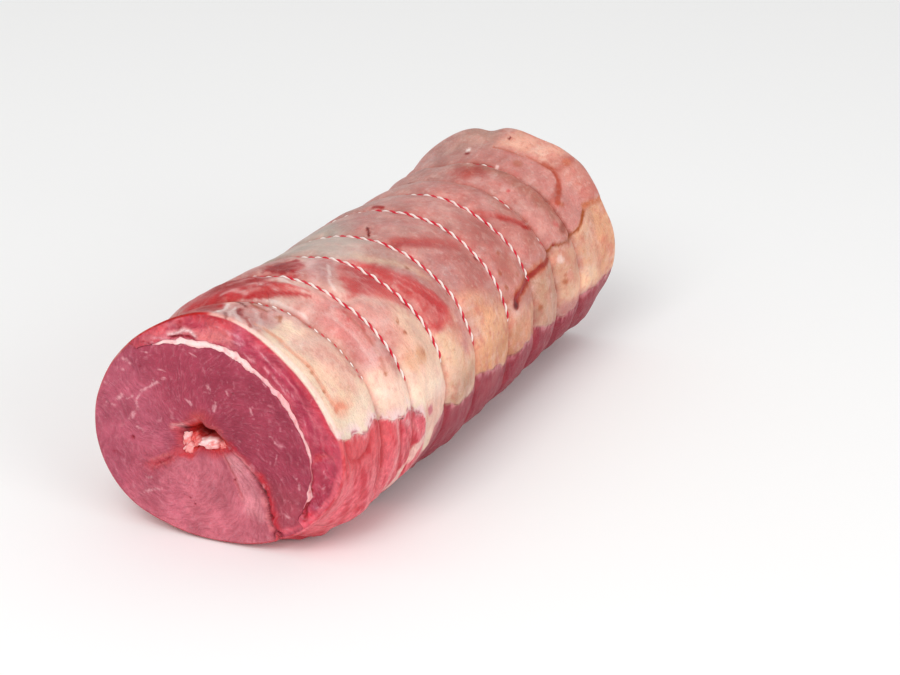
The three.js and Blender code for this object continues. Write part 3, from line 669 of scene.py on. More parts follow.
# Dots: tone, (angle, f), radius, strength
DOTS = [
    (ORANGE_DEEP, (22, 83), 3.6, .6), (ORANGE, (22, 74), 4.5, .45), (BROWN, (22.4, 85.5), 1.3, .4),
    (SALMON, (24, 10), 4.6, .5), (BROWN, (33, 80), .9, .9), (BROWN, (38, 82), .8, .7),
    (BROWN, (56, 128), 1.2, .85), (BLACKISH, (41, 186), 1.3, .8), (BROWN, (22.4, 196), 1.2, .6),
    (BROWN, (28.6, 197), 1.2, .6), (BROWN, (37, 206), 1.1, .5), (BROWN, (24, 212), 1.2, .4),
    (BROWN, (2, 235), 1.6, .6), ((240, 208, 200), (17, 271), 1.7, .75),
    ((240, 208, 200), (15.6, 272.6), 1.2, .6), (BROWN, (5, 271), 1.4, .6), (DARK_RED, (23.6, 270), .9, .7),
    (RED, (61, 273), 1.2, .7), (RED, (32, 281), 2.0, .5), (BLACKISH, (100, 304), 1.5, .75),
    (WHITE, (101, 308), 1.6, .85), (WHITE, (78, 295), 1.0, .7), (BLACKISH, (83, 320), .9, .9),
    (BROWN, (70, 303), 2.6, .35), (BROWN, (38, 299), 1.4, .5), ((190, 84, 104), (0, 78), 2.0, .65),
    (BROWN, (8, 272), 1.0, .4), (BROWN, (72, 25), 1.5, .4), (BROWN, (42, 7), 1.0, .4),
    (DARK_RED, (11, 30), 1.0, .5), (BROWN, (8, 246), 1.6, .25), (BROWN, (8, 218), 1.8, .25),
    ((196, 112, 96), (41, 319), 1.3, .4), ((206, 122, 90), (52, 322), 2.0, .4), (RED, (51, 53), 1.4, .5),
    (RED, (55, 54.5), 1.2, .5), (RED, (44, 55), 1.2, .4), (BROWN, (24.6, 48), .9, .6),
    (BROWN, (33, 6), .8, .5), (BROWN, (45, 8), .8, .4), (RED, (29, 34), 1.1, .7),
    (BROWN, (92, 330), 1.6, .4), ((150, 70, 64), (36, 138), .9, .6), ((160, 84, 70), (15, 116), .8, .3),
]
# Lines between the strips of the lower right's muscle: tone, points, half width, strength
TENDONS = [
    ((240, 150, 156), [(8, 34), (-8, 34.6), (-26, 32.6), (-44, 28)], .7, .7),
    ((242, 178, 176), [(6, 46), (-12, 46), (-30, 43), (-50, 39)], .8, .85),
    (DEEP_RED, FURROWS[1], .9, .7),
    (DEEP_RED, FURROWS[2], .9, .7),
    ((236, 160, 160), [(-20, 19), (-36, 16), (-50, 14)], .7, .4),
    (DEEP_RED, FURROWS[0], 1.4, .5),
    (DEEP_RED, FURROWS[3], .8, .5),
    (DEEP_RED, FURROWS[4], .8, .5),
    ((240, 176, 172), [(2, 60), (-2, 64), (-6, 68)], .7, .6),
    (WHITE, [(3, 55), (1, 57)], 1.0, .7),
    (DEEP_RED, FURROWS[5], .8, .5),
]
# White and pale bands over that muscle: tone, points, half width, softness, strength
BARE_BANDS = [
    ((244, 208, 196), [(-5, 78), (-12, 72), (-17, 64), (-20, 56), (-30, 52)], 5, 2, .95),
    ((206, 150, 148), [(-6, 90), (-14, 84), (-22, 76), (-34, 66), (-52, 60)], 5, 3, .6),
]
# Painted shade in the groove under each string
STRING_GROOVE_SHADE = (172, 88, 80)
LOW_UNDER, LEFT_FROM = 60, 118  # angles under which muscle can lie bare, and from which the left side begins
# Bare muscle darkens from the first distance on: partly its own tone, partly painted shade
SHADED_MUSCLE_FROM, FRAYED_TO = 82, 80  # distances from which bare muscle is dark, and to which the cover is frayed


def paint_membrane(s, f, u, v):
    """The fat and the membrane, with patches, mottling and specks."""
    colour = fields(plain(MAUVE, s), u, v, on_skin(FIELDS))
    colour = shaded(colour, .05 * fbm(s, f, 15, 79, 5, .65))
    pink = np.clip((colour[..., 0] - colour[..., 2]) * 3.4 - .2, .25, 1)
    pink = pink * np.clip((.93 - colour[..., 1]) * 5, .3, 1)
    return lay(
        colour,
        (PALE_PINK, .3 * smooth(fbm(s / 1.6, f, 6, 83, 4, .65) * 1.5 - .2)),
        ((190, 96, 92), .3 * pink * smooth(fbm(s / 1.4, f, 5, 87, 4, .65) * 1.5 - .3)),
        ((190, 92, 84), .26 * pink * smooth((fbm(s, f, 2.3, 89, 2) - .5) * 3)),
    )


def paint_bare_muscle(angle, f, u, v, near_u, near_v):
    """The muscle below the cover's lower edge, dark further along, partly as painted shade."""
    s = angle * ROUND_MM
    ribs = fbm(s / 7, f + .3 * angle, 1.9, 91, 3, .7)
    colour = lay(
        plain(MUSCLE_SIDE, s),
        ((176, 52, 60), .6 * smooth(ribs * 1.2)),
        ((238, 144, 148), .5 * smooth(-ribs * 1.2 - .05)),
        (RED, .5 * smooth((angle + 14) / 20) * smooth((40 - np.abs(v - 20)) / 20)),
        ((186, 66, 74), .6 * smooth((-36 - angle) / 20)),
        # Darker muscle further along: partly its own tone, partly painted shade
        (PURPLE, .92 * smooth((v - SHADED_MUSCLE_FROM - .4 * (angle + 10)) / 7)),
        (MAUVE, .3 * smooth((v - SHADED_MUSCLE_FROM - 2) / 5) * smooth(fbm(s, f, 14, 95) + .1)),
    )
    colour = strokes(colour, near_u, near_v, on_skin(TENDONS))
    for tone, points, width, soft, strength in on_skin(BARE_BANDS):
        colour = lay(colour, (tone, strength * smooth((width - away_from(u, v, points)) / soft)))
    return colour


def paint_left_side(s, f, veil):
    """Muscle that the membrane veils, on the side that the photo doesn't show."""
    return lay(
        plain((192, 76, 82), s),
        ((206, 150, 142), .75 * (1 - veil)),
        ((226, 172, 168), .4 * smooth(fbm(s / 3, f, 7, 97) - .1)),
    )


def paint_cover_edge(colour, angle, f, edge, low):
    """The frayed lower edge of the cover, and its pale rim at the front cut, partly a painted highlight."""
    s = angle * ROUND_MM
    frayed = smooth((8 - edge) / 7) * smooth(edge + .6) * smooth((FRAYED_TO - f) / 8)
    threads = fbm(s / 3.2, f, 1.7, 103, 3, .7)
    fringe = smooth((edge + 4.5) / 4) * smooth(.8 - edge) * low
    rim = smooth((2.2 - f) / 1.2) * smooth((82 - angle) / 8) * smooth(edge / 2)
    return lay(
        colour,
        ((242, 204, 204), .9 * frayed * smooth(fbm(s, f, 3, 101) + .75)),
        ((178, 84, 96), .75 * bell(edge - .9, .9) * frayed * smooth(threads * 2.2 + .1)),
        ((240, 178, 182), .6 * fringe * smooth(threads * 2 + .1)),
        # Pale rim at the front: the fat's pale edge, with a painted highlight on its rounded edge
        ((244, 206, 198), .6 * rim),
    )


def paint_marks(colour, u, v):
    for tone, points, width, strength in on_skin(LINES):
        colour = lay(colour, (tone, strength * smooth((width * 1.5 - away_from(u, v, points)) / width)))
    for tone, (angle, at), radius, strength in DOTS:
        distance = np.hypot(u - angle * ROUND_MM, v - at) / radius
        colour = lay(colour, (tone, strength * smooth(1.7 - distance)))
    return colour


def paint_skin(theta, f):
    """Colour of the skin, and how much of it is bare muscle."""
    angle = wall_clock(theta)
    s = angle * ROUND_MM
    shake_s, shake_f = (2.2 * fbm(s, f, 9, seed, 4) for seed in (71, 75))
    ragged = s + shake_s, f + shake_f
    near = s + .3 * shake_s, f + .3 * shake_f
    edge = (angle - cover_lower(f)) * ROUND_MM
    low, left = smooth((LOW_UNDER - angle) / 40), smooth((angle - LEFT_FROM) / 40)
    bare = low * smooth(.5 - edge / 1.2)
    veil = smooth(fbm(s, f, 26, 99) + .55 * left - .1)

    colour = paint_membrane(s, f, *ragged)
    colour = mix(colour, paint_left_side(s, f, veil), left[..., None])
    colour = mix(colour, paint_bare_muscle(angle, f, *ragged, *near), bare[..., None])
    colour = paint_cover_edge(colour, angle, f, edge, low)
    colour = paint_marks(colour, *near)
    for loop in LOOPS:
        # Painted shade in the groove under each string
        colour = lay(colour, (STRING_GROOVE_SHADE, .5 * bell(f - loop.at, 1.5) * (1 - .4 * low)))
        # Painted light and shade on the small folds across each string
        colour = shaded(colour, .07 * bell(f - loop.at, 6) * pucker(s, f, loop))
    return colour, np.clip(bare + .6 * left * veil, 0, 1)


# Lines on a cut face, in millimetres across and up: points
RED_CREASE = [(-37, 33), (-33, 34.5), (-29, 37), (-26, 40), (-22, 45)]
WEDGE_CREASE = [(3.4, 45.4), (6, 41.6), (8.6, 36.6), (11, 31.6), (12.6, 27)]
RIGHT_GAP = [(50.2, 47), (50, 42), (49.4, 38), (48.6, 34), (47.4, 30), (45.8, 26.6), (45.8, 23), (45.4, 20)]
BLOCK_EDGE = [(50, 51.5), (54, 54), (57, 55.5), (61, 55)]
TOP_GAP = [(-23.4, 101.2), (-20, 102), (-17.4, 102.8)]
TOP_GAP_RIGHT = [(-15, 103), (-13, 102.9), (-10.8, 102.5)]
TOP_STRAND = [(-24, 102.4), (-20, 104), (-16, 105.4), (-12, 105.4), (-10, 104)]
TOP_STEP = [(-19, 106), (-17.6, 106.8), (-17.5, 110)]
RIM = [(67.4, 62), (67, 54), (64.6, 45), (60.4, 36), (56, 29), (50, 22.4), (44, 17.4), (37, 14), (31, 12)]
SLIT_LIP = [(x - 2.4, z - 1) for x, z in SLIT]
NOTCH = (30.8, 9.6)
NOTCH_DEPTH, NOTCH_RADIUS, BLOCK_DEPTH = 3.5, 2.2, .9
SWIRL_CENTRE, SWIRL_SIZE = (-34, 34), 16
GLOW_CENTRE, GLOW_SIZE = (-8, 61), (11, 7)
CURL = (-29, 44)
CURLED = [(-70, 46), (-46, 46), (-34, 40), (-24, 42), (-12, 42), (4, 44), (12, 28), (14, -4), (-70, -4)]
BLOCK = [(50, 52), (61, 55), (63.5, 50), (60, 36), (52, 26), (46, 25), (48.6, 37)]
# Creases of the cut: points, width and depth
FACE_CREASES = [
    (SLIT, .7, 1.1), (SLIT[3:], .8, 1.2), (RED_CREASE, 1.5, 1.2), (WEDGE_CREASE, .7, .5),
    (RIGHT_GAP, .7, 1.5), (BLOCK_EDGE, .9, .9), (TOP_GAP, .5, 1.2), (TOP_GAP_RIGHT, .5, 1),
    (TOP_STEP, .7, .6),
]
# A strand and a lip that stand out from it: points, width and height
FACE_LIPS = [(TOP_STRAND, 1.4, .5), (SLIT_LIP, 1.8, .5)]
# Marbling on the inner muscle: points and half width
MARBLING = [
    ([(-27, 79.5), (-31, 77), (-34, 75.5), (-38, 73), (-40.5, 71.5)], .75), ([(-34, 75.5), (-33, 78.5)], .5),
    ([(-40.5, 71.5), (-43, 66), (-43.4, 61)], .55), ([(-45, 59), (-47.5, 55.5)], .9),
    ([(-51, 67), (-54, 65.5)], .9), ([(-43, 52.4), (-40.5, 51.6)], .6), ([(-60, 72.5), (-56.5, 71)], .6),
    ([(-4, 79.5), (-3.8, 77), (-6, 75.5)], .8), ([(5.5, 78.4), (6.5, 77)], .7),
    ([(-15.5, 71.5), (-13, 69.5)], .9), ([(-1, 68), (-.4, 71)], 1.0), ([(18, 72), (19.4, 67.5)], .6),
    ([(31, 57.5), (34, 56)], .6), ([(31.4, 51), (30.5, 46)], .45), ([(-13, 95), (-10, 93.5)], .4),
    ([(28, 60.5), (30, 59)], .4), ([(-50, 86), (-45, 84.5)], .5), ([(-54, 81), (-48, 80)], .4),
    ([(-41, 92), (-34, 90)], .4), ([(-36, 21), (-31, 22.5)], .5), ([(-41, 19), (-37, 20.3)], .5),
    ([(-40, 27), (-34, 28)], .4), ([(-60, 62), (-54, 61)], .4), ([(-48, 66), (-45, 68)], .4),
    ([(-30, 84), (-26, 83)], .4), ([(35, 21.5), (37, 20.5)], .7), ([(42, 41), (43.5, 36)], .45),
]
# Marbling on the outer muscle
BAND_MARBLING = [
    ([(8, 107.5), (12, 107), (15, 104.5)], 1.2), ([(10, 104.5), (13, 103)], .9), ([(16, 99), (22, 95)], .6),
    ([(24, 101), (27, 99)], .6), ([(39, 84), (41.6, 81)], .5), ([(36, 87), (38, 84.5)], .4),
    ([(26, 94), (32, 88.5), (37, 83)], .5), ([(46, 73), (47.5, 69)], .4), ([(55, 41), (55.5, 36)], .3),
    ([(51.6, 28), (55, 29)], .5), ([(0, 110), (5, 109)], .4), ([(56, 47), (57.6, 44)], .3),
    ([(22, 103), (29, 97), (34, 92)], .4), ([(-32, 98.5), (-26, 100)], .7), ([(-37, 96), (-33, 97)], .5),
]
# Small holes in the cut: across, up and radius
PITS = [(-45.8, 46.6, .9), (24.8, 31.4, 1.1), (22.8, 33.6, .7), (-13, 18, .5), (28.4, 19, 1.0),
        (44.8, 24, .8), (26.4, 26, .6), (-15.4, 20.6, .5), (8.8, 34.4, .5), (-19, 44.6, .6), (-40, 84, .4),
        (9, 78, .4)]
# Fields of colour on the inner muscle's cut: tone, corners, strength, softness
FACE_FIELDS = [
    ((184, 103, 119), [(-76, 10), (-76, 90), (-44, 94), (-30, 70), (-24, 48), (-26, 40), (-36, 30),
                       (-56, 6)], .9, 13),
    (FACE_PINK, [(-56, 10), (-46, 20), (-34, 30), (-24, 41), (-12, 45), (3, 46), (8, 38), (13, 30), (22, 25),
                 (27, 18), (31, 7), (28, -6), (-56, -6)], .95, 6),
    ((200, 109, 123), [(-46, 24), (-34, 26), (-27, 36), (-38, 42), (-48, 38)], .7, 8),
    (FACE_WEDGE, [(2, 49.5), (8, 49.5), (14, 45.5), (18.6, 40.5), (22, 34), (24.8, 27), (26.4, 20), (22, 15),
                  (14, 20), (12, 28), (9.6, 34), (6, 42)], .78, 2.4),
    ((224, 160, 164), [(3, 47), (9, 48), (13, 44), (12, 38), (8, 40)], .5, 2),
    ((163, 87, 96), [(22, 40), (34, 36), (47, 34), (46, 18), (32, 6), (29, 14), (27, 26)], .7, 5),
    ((178, 98, 114), [(-50, 8), (-42, 27), (-20, 28), (-17, 8)], .42, 6),
]
# Fields on the outer muscle's cut
BAND_FIELDS = [
    ((212, 98, 102), [(-46, 92), (-30, 106), (-10, 114), (12, 116), (8, 105), (-8, 104.5), (-24, 102),
                      (-34, 97)], .85, 3),
    ((222, 122, 124), [(-26, 104), (-12, 111), (4, 110), (4, 105), (-12, 104)], .6, 2),
    ((188, 66, 70), [(-18, 112), (-6, 113), (8, 112), (10, 118), (-8, 120), (-20, 115)], .7, 2),
    ((206, 124, 134), [(-26, 104), (-24, 109), (-19, 108), (-19, 104.6)], .7, 1.2),
    ((202, 78, 98), [(-17, 107), (-6, 107), (-5, 111), (-14, 112)], .6, 2),
    ((224, 132, 130), [(-9, 102.6), (-8, 107), (6, 107.6), (10, 102), (4, 102)], .8, 1.6),
    ((206, 140, 158), [(9, 108), (14, 108), (17, 101), (13, 101)], .55, 2),
    ((176, 72, 94), [(10, 103), (26, 95), (40, 82), (48, 66), (52, 57), (56, 57), (53, 68), (44, 86),
                     (30, 98), (12, 107)], .6, 3),
    ((185, 82, 99), BLOCK, .9, 1.6),
    ((190, 72, 88), [(52, 61), (55, 57), (61, 56), (62, 61)], .6, 2),
    ((204, 66, 72), [(51, 54.6), (55, 56), (58, 56), (55, 51.6), (51, 50.4)], .6, 1),
    ((224, 76, 90), [(46, 25.4), (52, 26.6), (54, 25), (50, 20), (44, 17), (45.4, 21)], .85, 1.2),
    ((206, 124, 148), [(49.6, 29), (54, 28.6), (53, 26.8), (50, 27)], .6, 1),
]
# Strokes of colour on the inner muscle's cut: tone, points, half width, strength
FACE_STROKES = [
    ((206, 84, 88), [(9, 49.6), (15, 45.6), (20.4, 40), (25, 34)], 1.6, .5),
    ((200, 66, 72), [(22.6, 39), (26, 34), (28, 27), (29.6, 20), (31, 13)], 1.9, .8),
    ((214, 92, 96), [(-37, 33.6), (-33, 35.2), (-28, 37.4), (-25, 39.6), (-22, 43.6)], 2.4, .6),
    # Painted highlights along the lips of the red crease
    ((230, 132, 126), [(-36, 36.4), (-31, 38.6), (-27, 40.4)], .7, .4),
    ((228, 128, 124), [(-35.6, 33.2), (-31, 34.6), (-28, 36.4)], .5, .35),
    ((236, 158, 160), [(8.6, 48.4), (13.4, 45.4), (17.6, 41)], .9, .5),
    ((240, 166, 168), [(24, 34.6), (23.6, 31.4)], 1.0, .75),
    ((234, 146, 148), [(24.2, 28), (25.6, 24), (26.6, 18), (28.6, 12)], 1.0, .6),
    ((232, 146, 146), [(2.6, 46.6), (6, 41.6), (9, 35.8), (11.6, 30.6), (12.8, 25)], .8, .5),
    ((240, 152, 152), [(-25.4, 56.4), (-20.8, 57.2), (-17.6, 58.4), (-14, 59.9), (-11.8, 61.6),
                       (-9.8, 62.6)], .5, .5),
    ((246, 186, 188), [(-25, 55.8), (-22, 56.4), (-19, 57.4)], .9, .8),
    ((226, 108, 102), [(-12, 63), (-8, 63)], 2.2, .45),
    ((218, 108, 112), [(-7, 61.2), (-5.4, 59.4), (-3, 58.9), (.6, 59), (3, 57.4)], .9, .6),
    ((196, 60, 70), [(7.6, 52.6), (9.4, 50), (8, 48.6)], 1.4, .6),
    # Painted shade under the fat lumps
    ((176, 40, 46), [(-9.6, 46.8), (-5, 46.4), (0, 45.8), (3, 47), (6, 49)], .8, .4),
    ((206, 66, 66), [(-20.4, 42), (-18.6, 42.6), (-14, 42)], 1.2, .5),
    # Pale line along the rounded lower right edge, partly a painted highlight
    ((230, 112, 124), RIM, 1.5, .75),
    ((236, 130, 140), [(44.6, 25.4), (45.4, 23), (44.8, 20.6)], .7, .7),
    ((232, 140, 148), [(14, 2), (26, 5), (30, 9)], 1.6, .4),
]
# Strokes on the outer muscle's cut
BAND_STROKES = [
    ((214, 82, 92), [(20, 110), (34, 101), (48, 86), (58, 71), (63, 64)], 1.6, .6),
    # Pale line along the rounded lower right edge, partly a painted highlight
    ((234, 118, 130), RIM, 1.6, .8),
    # Painted highlight along the block's edge
    ((214, 110, 112), BLOCK_EDGE, .8, .5),
    ((246, 204, 208), [(49, 42), (48.4, 38), (47.6, 34)], .6, .5),
    ((224, 140, 146), [(53, 60), (51, 70), (45, 82), (38, 90)], .7, .4),
    ((246, 214, 212), TOP_STRAND, 1.1, .95),
    ((226, 146, 152), [(-38, 98), (-31, 99.6), (-25, 101)], 1.4, .6),
    ((214, 130, 136), [(-8, 107), (2, 106.4), (12, 101)], 1.0, .4),
]
# Dark lines on the cut, most of them painted shade in its cracks and creases: points, half width, strength
DARK_LINES = [
    (SLIT[2:5], .4, .2), ([(24.4, 31), (25.6, 30.2)], .9, .8), (SLIT[6:8], .4, .45), (RIGHT_GAP, .55, .65),
    (TOP_GAP, .42, .8), (TOP_GAP_RIGHT, .4, .7), (WEDGE_CREASE, .5, .3), (TOP_STEP, .6, .5),
    ([(-36, 33.4), (-31, 35.4), (-27, 38.4), (-23.6, 41.6)], .4, .3),
    ([(-53.6, 36.6), (-57, 38.4)], .6, .35), ([(-19.6, 55.4), (-20.6, 52.6)], .6, .4),
    ([(-38.5, 96), (-35, 96.4), (-33, 96.2)], .5, .45),
]
# Painted shade in cracks and creases, in pits and in the notch
CRACK_RED, PIT_RED, NOTCH_DARK = (112, 26, 34), (110, 24, 32), (60, 14, 18)


def front_polar(x, z):
    """Angle in radians and distance from the axis on the front face."""
    return np.arctan2(z - FRONT_AXIS, x), np.hypot(x, z - FRONT_AXIS)


def from_seam(x, z):
    """Distance from the middle of the seam on the front face, and the angle around the axis."""
    theta, radius = front_polar(x, z)
    angle = wall_clock(theta)
    return np.abs(radius - (front_outline(theta) - seam_depth(angle))), angle


def hole(x, z, middle, radius):
    return bell(np.hypot(x - middle[0], z - middle[1]), radius)


def face_dent(x, z, seed=0):
    """How far the cut face lies back, in millimetres."""
    dent = .5 * fbm(x, z, 26, 111 + seed) + .2 * fbm(x, z, 7, 115 + seed, 2)
    warp_x, warp_z = x + .6 * fbm(x, z, 5, 121), z + .6 * fbm(x, z, 5, 125)
    for points, width, depth in FACE_CREASES:
        dent = dent + depth * ridge(warp_x, warp_z, points, width)
    for points, width, height in FACE_LIPS:
        dent = dent - height * ridge(x, z, points, width)
    for px, pz, radius in PITS:
        dent = dent + hole(x, z, (px, pz), radius)
    dent = dent + NOTCH_DEPTH * hole(x, z, NOTCH, NOTCH_RADIUS)
    dent = dent + BLOCK_DEPTH * smooth(inside(x, z, BLOCK) / 2.5)
    waves = np.sin((x * .5 + z) * 1.1 + fbm(x, z, 8, 127))
    return dent + .25 * waves * hole(x, z, SWIRL_CENTRE, SWIRL_SIZE)


def marbling(colour, x, z, near, table, tone, strength, seed):
    broken = smooth(.9 + fbm(x, z, 1.4, seed))
    for points, width in table:
        colour = lay(colour, (tone, strength * broken * smooth(1.5 - away_from(*near, points) / width)))
    return colour


def paint_inner_cut(x, z, far, near):
    """Colour of the inner muscle's cut."""
    colour = fields(plain(FACE_DARK, x), *far, FACE_FIELDS)
    colour = shaded(colour, .07 * fbm(x, z, 12, 141, 4, .7))
    from_glow = np.hypot(*((at - centre) / size for at, centre, size in zip(far, GLOW_CENTRE, GLOW_SIZE)))
    colour = lay(
        colour,
        (FACE_HALO, .65 * smooth((inside(*near, HOLLOW) + 3.4) / 3.4)),
        ((208, 88, 92), .5 * smooth(1.2 - from_glow)),
    )
    colour = strokes(colour, *near, FACE_STROKES)
    colour = marbling(colour, x, z, near, MARBLING, (226, 168, 174), .8, 142)
    flecks = smooth((fbm(x * 1.3, z, 2.6, 143, 2) - .86) * 4)
    return lay(colour, ((212, 144, 154), .5 * flecks))


def paint_outer_cut(x, z, far, near):
    """Colour of the outer muscle's cut, with strands that run along its band."""
    theta, radius = front_polar(x, z)
    colour = fields(plain(FACE_OUTER, x), *far, BAND_FIELDS)
    colour = shaded(colour, .09 * fbm(x, z, 9, 145, 4, .7))
    strands = np.sin(radius / front_outline(theta) * 80 + 3.5 * fbm(x, z, 7, 147))
    colour = lay(
        colour,
        ((228, 140, 146), .4 * smooth(strands) * smooth(fbm(x, z, 6, 149) + .3)),
        ((158, 48, 66), .35 * smooth(-strands) * smooth(fbm(x, z, 5, 150) + .2)),
    )
    colour = strokes(colour, *near, BAND_STROKES)
    return marbling(colour, x, z, near, BAND_MARBLING, (230, 170, 178), .6, 146)


def paint_face(x, z, outer):
    """Colour of a cut face. outer is 1 on the outer muscle and 0 on the inner one."""
    far = x + 1.2 * fbm(x, z, 8, 131), z + 1.2 * fbm(x, z, 8, 135)
    near = x + .6 * fbm(x, z, 3, 137), z + .6 * fbm(x, z, 3, 138)
    colour = (paint_outer_cut if outer else paint_inner_cut)(x, z, far, near)
    distance, angle = from_seam(x, z)
    frayed = seam_half(angle) + .1 + 1.1 * fbm(x, z, 2.2, 153, 3)
    within = span_fade(angle, SEAM_SPAN, 4) * smooth((seam_half(angle) - .3) / .4)
    colour = lay(colour, ((232, 172, 176), .7 * within * smooth((frayed - distance) / 1.1)))
    # Painted shade in cracks and creases, in pits and in the notch
    for points, width, strength in DARK_LINES:
        colour = lay(colour, (CRACK_RED, strength * ridge(*near, points, width)))
    for px, pz, radius in PITS:
        colour = lay(colour, (PIT_RED, .7 * hole(x, z, (px, pz), radius)))
    return lay(colour, (NOTCH_DARK, hole(x, z, NOTCH, 1.7)))


def grain(x, z):
    """Noise places of strands out from the hollow, of rings around the curl, and the share of rings."""
    dx, dz = x - HOLLOW_CENTRE[0], z - HOLLOW_CENTRE[1]
    radius = np.hypot(dx, dz) + 2 * fbm(x, z, 12, 155)
    turn = np.arctan2(dz, dx) + .07 * fbm(x, z, 14, 151) + radius / 80
    rays = np.stack([34 * np.cos(turn), 34 * np.sin(turn), .45 * radius], -1)
    dx, dz = x - CURL[0] + 1.6 * fbm(x, z, 9, 157), z - CURL[1] + 1.6 * fbm(x, z, 9, 159)
    radius, turn = np.hypot(dx, dz), np.arctan2(dz, dx)
    rings = np.stack([1.15 * radius, 10 * np.cos(turn), 10 * np.sin(turn)], -1)
    curl = smooth(.5 + inside(x + 4 * fbm(x, z, 9, 161), z, CURLED) / 8)
    return rays, rings, curl


# Meshes. The counts of columns and rows are those of a full render.

INNER_COLUMNS, OUTER_COLUMNS, COVER_COLUMNS, SEAM_COLUMNS, STRING_COUNT = 320, 170, 176, 200, 640
HOLLOW_ROWS, FACE_ROWS, BAND_ROWS = 11, 86, 22
BACK_SEED = 40  # makes the back face's dents differ from the front's


def new_piece(name, points, faces, materials, colours, attributes, which=None):
    """A mesh object from blocks of faces, with its tint and the values that its materials read."""
    mesh = bpy.data.meshes.new(name)
    sizes = np.concatenate([np.full(len(block), block.shape[1]) for block in faces])
    corners = np.concatenate([block.ravel() for block in faces]).astype(np.int32)
    starts = np.concatenate([[0], np.cumsum(sizes)[:-1]]).astype(np.int32)
    mesh.vertices.add(len(points))
    mesh.vertices.foreach_set("co", points.astype(np.float32).ravel())
    mesh.loops.add(len(corners))
    mesh.loops.foreach_set("vertex_index", corners)
    mesh.polygons.add(len(sizes))
    mesh.polygons.foreach_set("loop_start", starts)
    mesh.polygons.foreach_set("use_smooth", np.ones(len(sizes), bool))
    for look in materials:
        mesh.materials.append(look)
    if which is not None:
        mesh.polygons.foreach_set("material_index", np.concatenate(which).astype(np.int32))
    mesh.update(calc_edges=True)
    mesh.validate()
    if signed_volume(mesh) < 0:
        mesh.flip_normals()
    tint = np.concatenate([seen_to_surface(colours), np.ones((len(points), 1))], 1)
    layer = mesh.color_attributes.new("tint", "FLOAT_COLOR", "POINT")
    layer.data.foreach_set("color", tint.astype(np.float32).ravel())
    for key, values in attributes.items():
        kind, field = ("FLOAT_VECTOR", "vector") if values.shape[-1] == 3 else ("FLOAT", "value")
        layer = mesh.attributes.new(key, kind, "POINT")
        layer.data.foreach_set(field, values.astype(np.float32).ravel())
    piece = bpy.data.objects.new(name, mesh)
    bpy.context.scene.collection.objects.link(piece)
    return piece


def signed_volume(mesh):
    mesh.calc_loop_triangles()
    corners = np.empty(len(mesh.loop_triangles) * 3, np.int32)
    mesh.loop_triangles.foreach_get("vertices", corners)
    co = np.empty(len(mesh.vertices) * 3)
    mesh.vertices.foreach_get("co", co)
    a, b, c = co.reshape(-1, 3)[corners.reshape(-1, 3)].transpose(1, 0, 2)
    return np.einsum("ij,ij->i", a, np.cross(b, c)).sum() / 6


def grid_faces(rows, columns, wrap_rows=False, wrap_columns=False):
    index = np.arange(rows * columns).reshape(rows, columns)
    if wrap_rows:
        index = np.concatenate([index, index[:1]], 0)
    if wrap_columns:
        index = np.concatenate([index, index[:, :1]], 1)
    quads = np.stack([index[:-1, :-1], index[:-1, 1:], index[1:, 1:], index[1:, :-1]], -1)
    return quads.reshape(-1, 4)


def end_fans(columns, size):
    """Triangles from a tube's first and last ring to the two middle points that follow its own points."""
    first, last = np.arange(columns), np.arange(size - columns, size)
    fans = [np.stack([ring, np.roll(ring, -1), np.full(columns, middle)], -1)
            for ring, middle in ((first, size), (last, size + 1))]
    return np.concatenate([fans[0][:, ::-1], fans[1]])


def joined(parts):
    """One set of points, quads, triangles and colours from several."""
    starts = np.cumsum([0] + [len(points) for points, _, _, _ in parts])
    points, quads, triangles, colours = zip(*parts)
    blocks = [np.concatenate([faces + start for faces, start in zip(kind, starts)])
              for kind in (quads, triangles)]
    return np.concatenate(points), blocks, np.concatenate(colours)


def rows_along(coarse, fine, reach=5.5):
    """Distances from the front for rows of a mesh, closer together near the strings and the ends."""
    places = [0.0]
    while places[-1] < LENGTH:
        f = places[-1]
        near = min([abs(f - loop.at) - loop.sunk for loop in LOOPS] + [f - 1, LENGTH - 1 - f])
        places.append(f + (fine if near < reach else coarse))
    rows = np.array(places)
    return rows * LENGTH / rows[-1]


def cut_piece(name, grid, faces, materials, which, colour, muscle, middles=False):
    """A piece from a grid of points. middles adds a point in the middle of its first and last row."""
    x, f, z = np.moveaxis(grid, -1, 0)
    rays, rings, curl = grain(x, z)

    def listed(values):
        rows = values.reshape(x.size, -1)
        return np.concatenate([rows, rows[[0, -1]]]) if middles else rows

    attributes = {"muscle": muscle, "curl": curl, "rays": rays, "rings": rings}
    attributes = {key: listed(values) for key, values in attributes.items()}
    rows = to_part(x, f, z)
    points = rows.reshape(-1, 3)
    if middles:
        points = np.concatenate([points, rows[[0, -1]].mean(1)])
    return new_piece(name, points, faces, materials, listed(colour), attributes, which)


# Inner muscle

def hollow_radius(phi):
    """Radius of the hollow's mouth about its centre, where a ray first leaves its outline."""
    points = np.array(HOLLOW) - HOLLOW_CENTRE
    ahead_x, ahead_z = np.cos(phi), np.sin(phi)
    radius = np.full(len(phi), 1e9)
    for p, edge in zip(points, np.roll(points, -1, 0) - points):
        cross = ahead_x * edge[1] - ahead_z * edge[0]
        cross = np.where(np.abs(cross) < 1e-9, 1e-9, cross)
        t = (p[0] * edge[1] - p[1] * edge[0]) / cross
        u = (p[0] * ahead_z - p[1] * ahead_x) / cross
        hit = (t > 0) & (u >= 0) & (u <= 1) & (t < radius)
        radius = np.where(hit, t, radius)
    return radius


def inner_outline(theta, f):
    """Radius of the inner muscle: the seam's inner surface, or the skin where no layer covers it."""
    slit = SLIT_DEPTH * bell(turn_from(theta, SLIT_ANGLE), SLIT_WIDTH)
    bare = below_cover(theta, f, INNER_COVER_GAP) - slit
    return np.where(between(wall_clock(theta), OUTER_SPAN), beside_seam(theta, f, -1), bare)


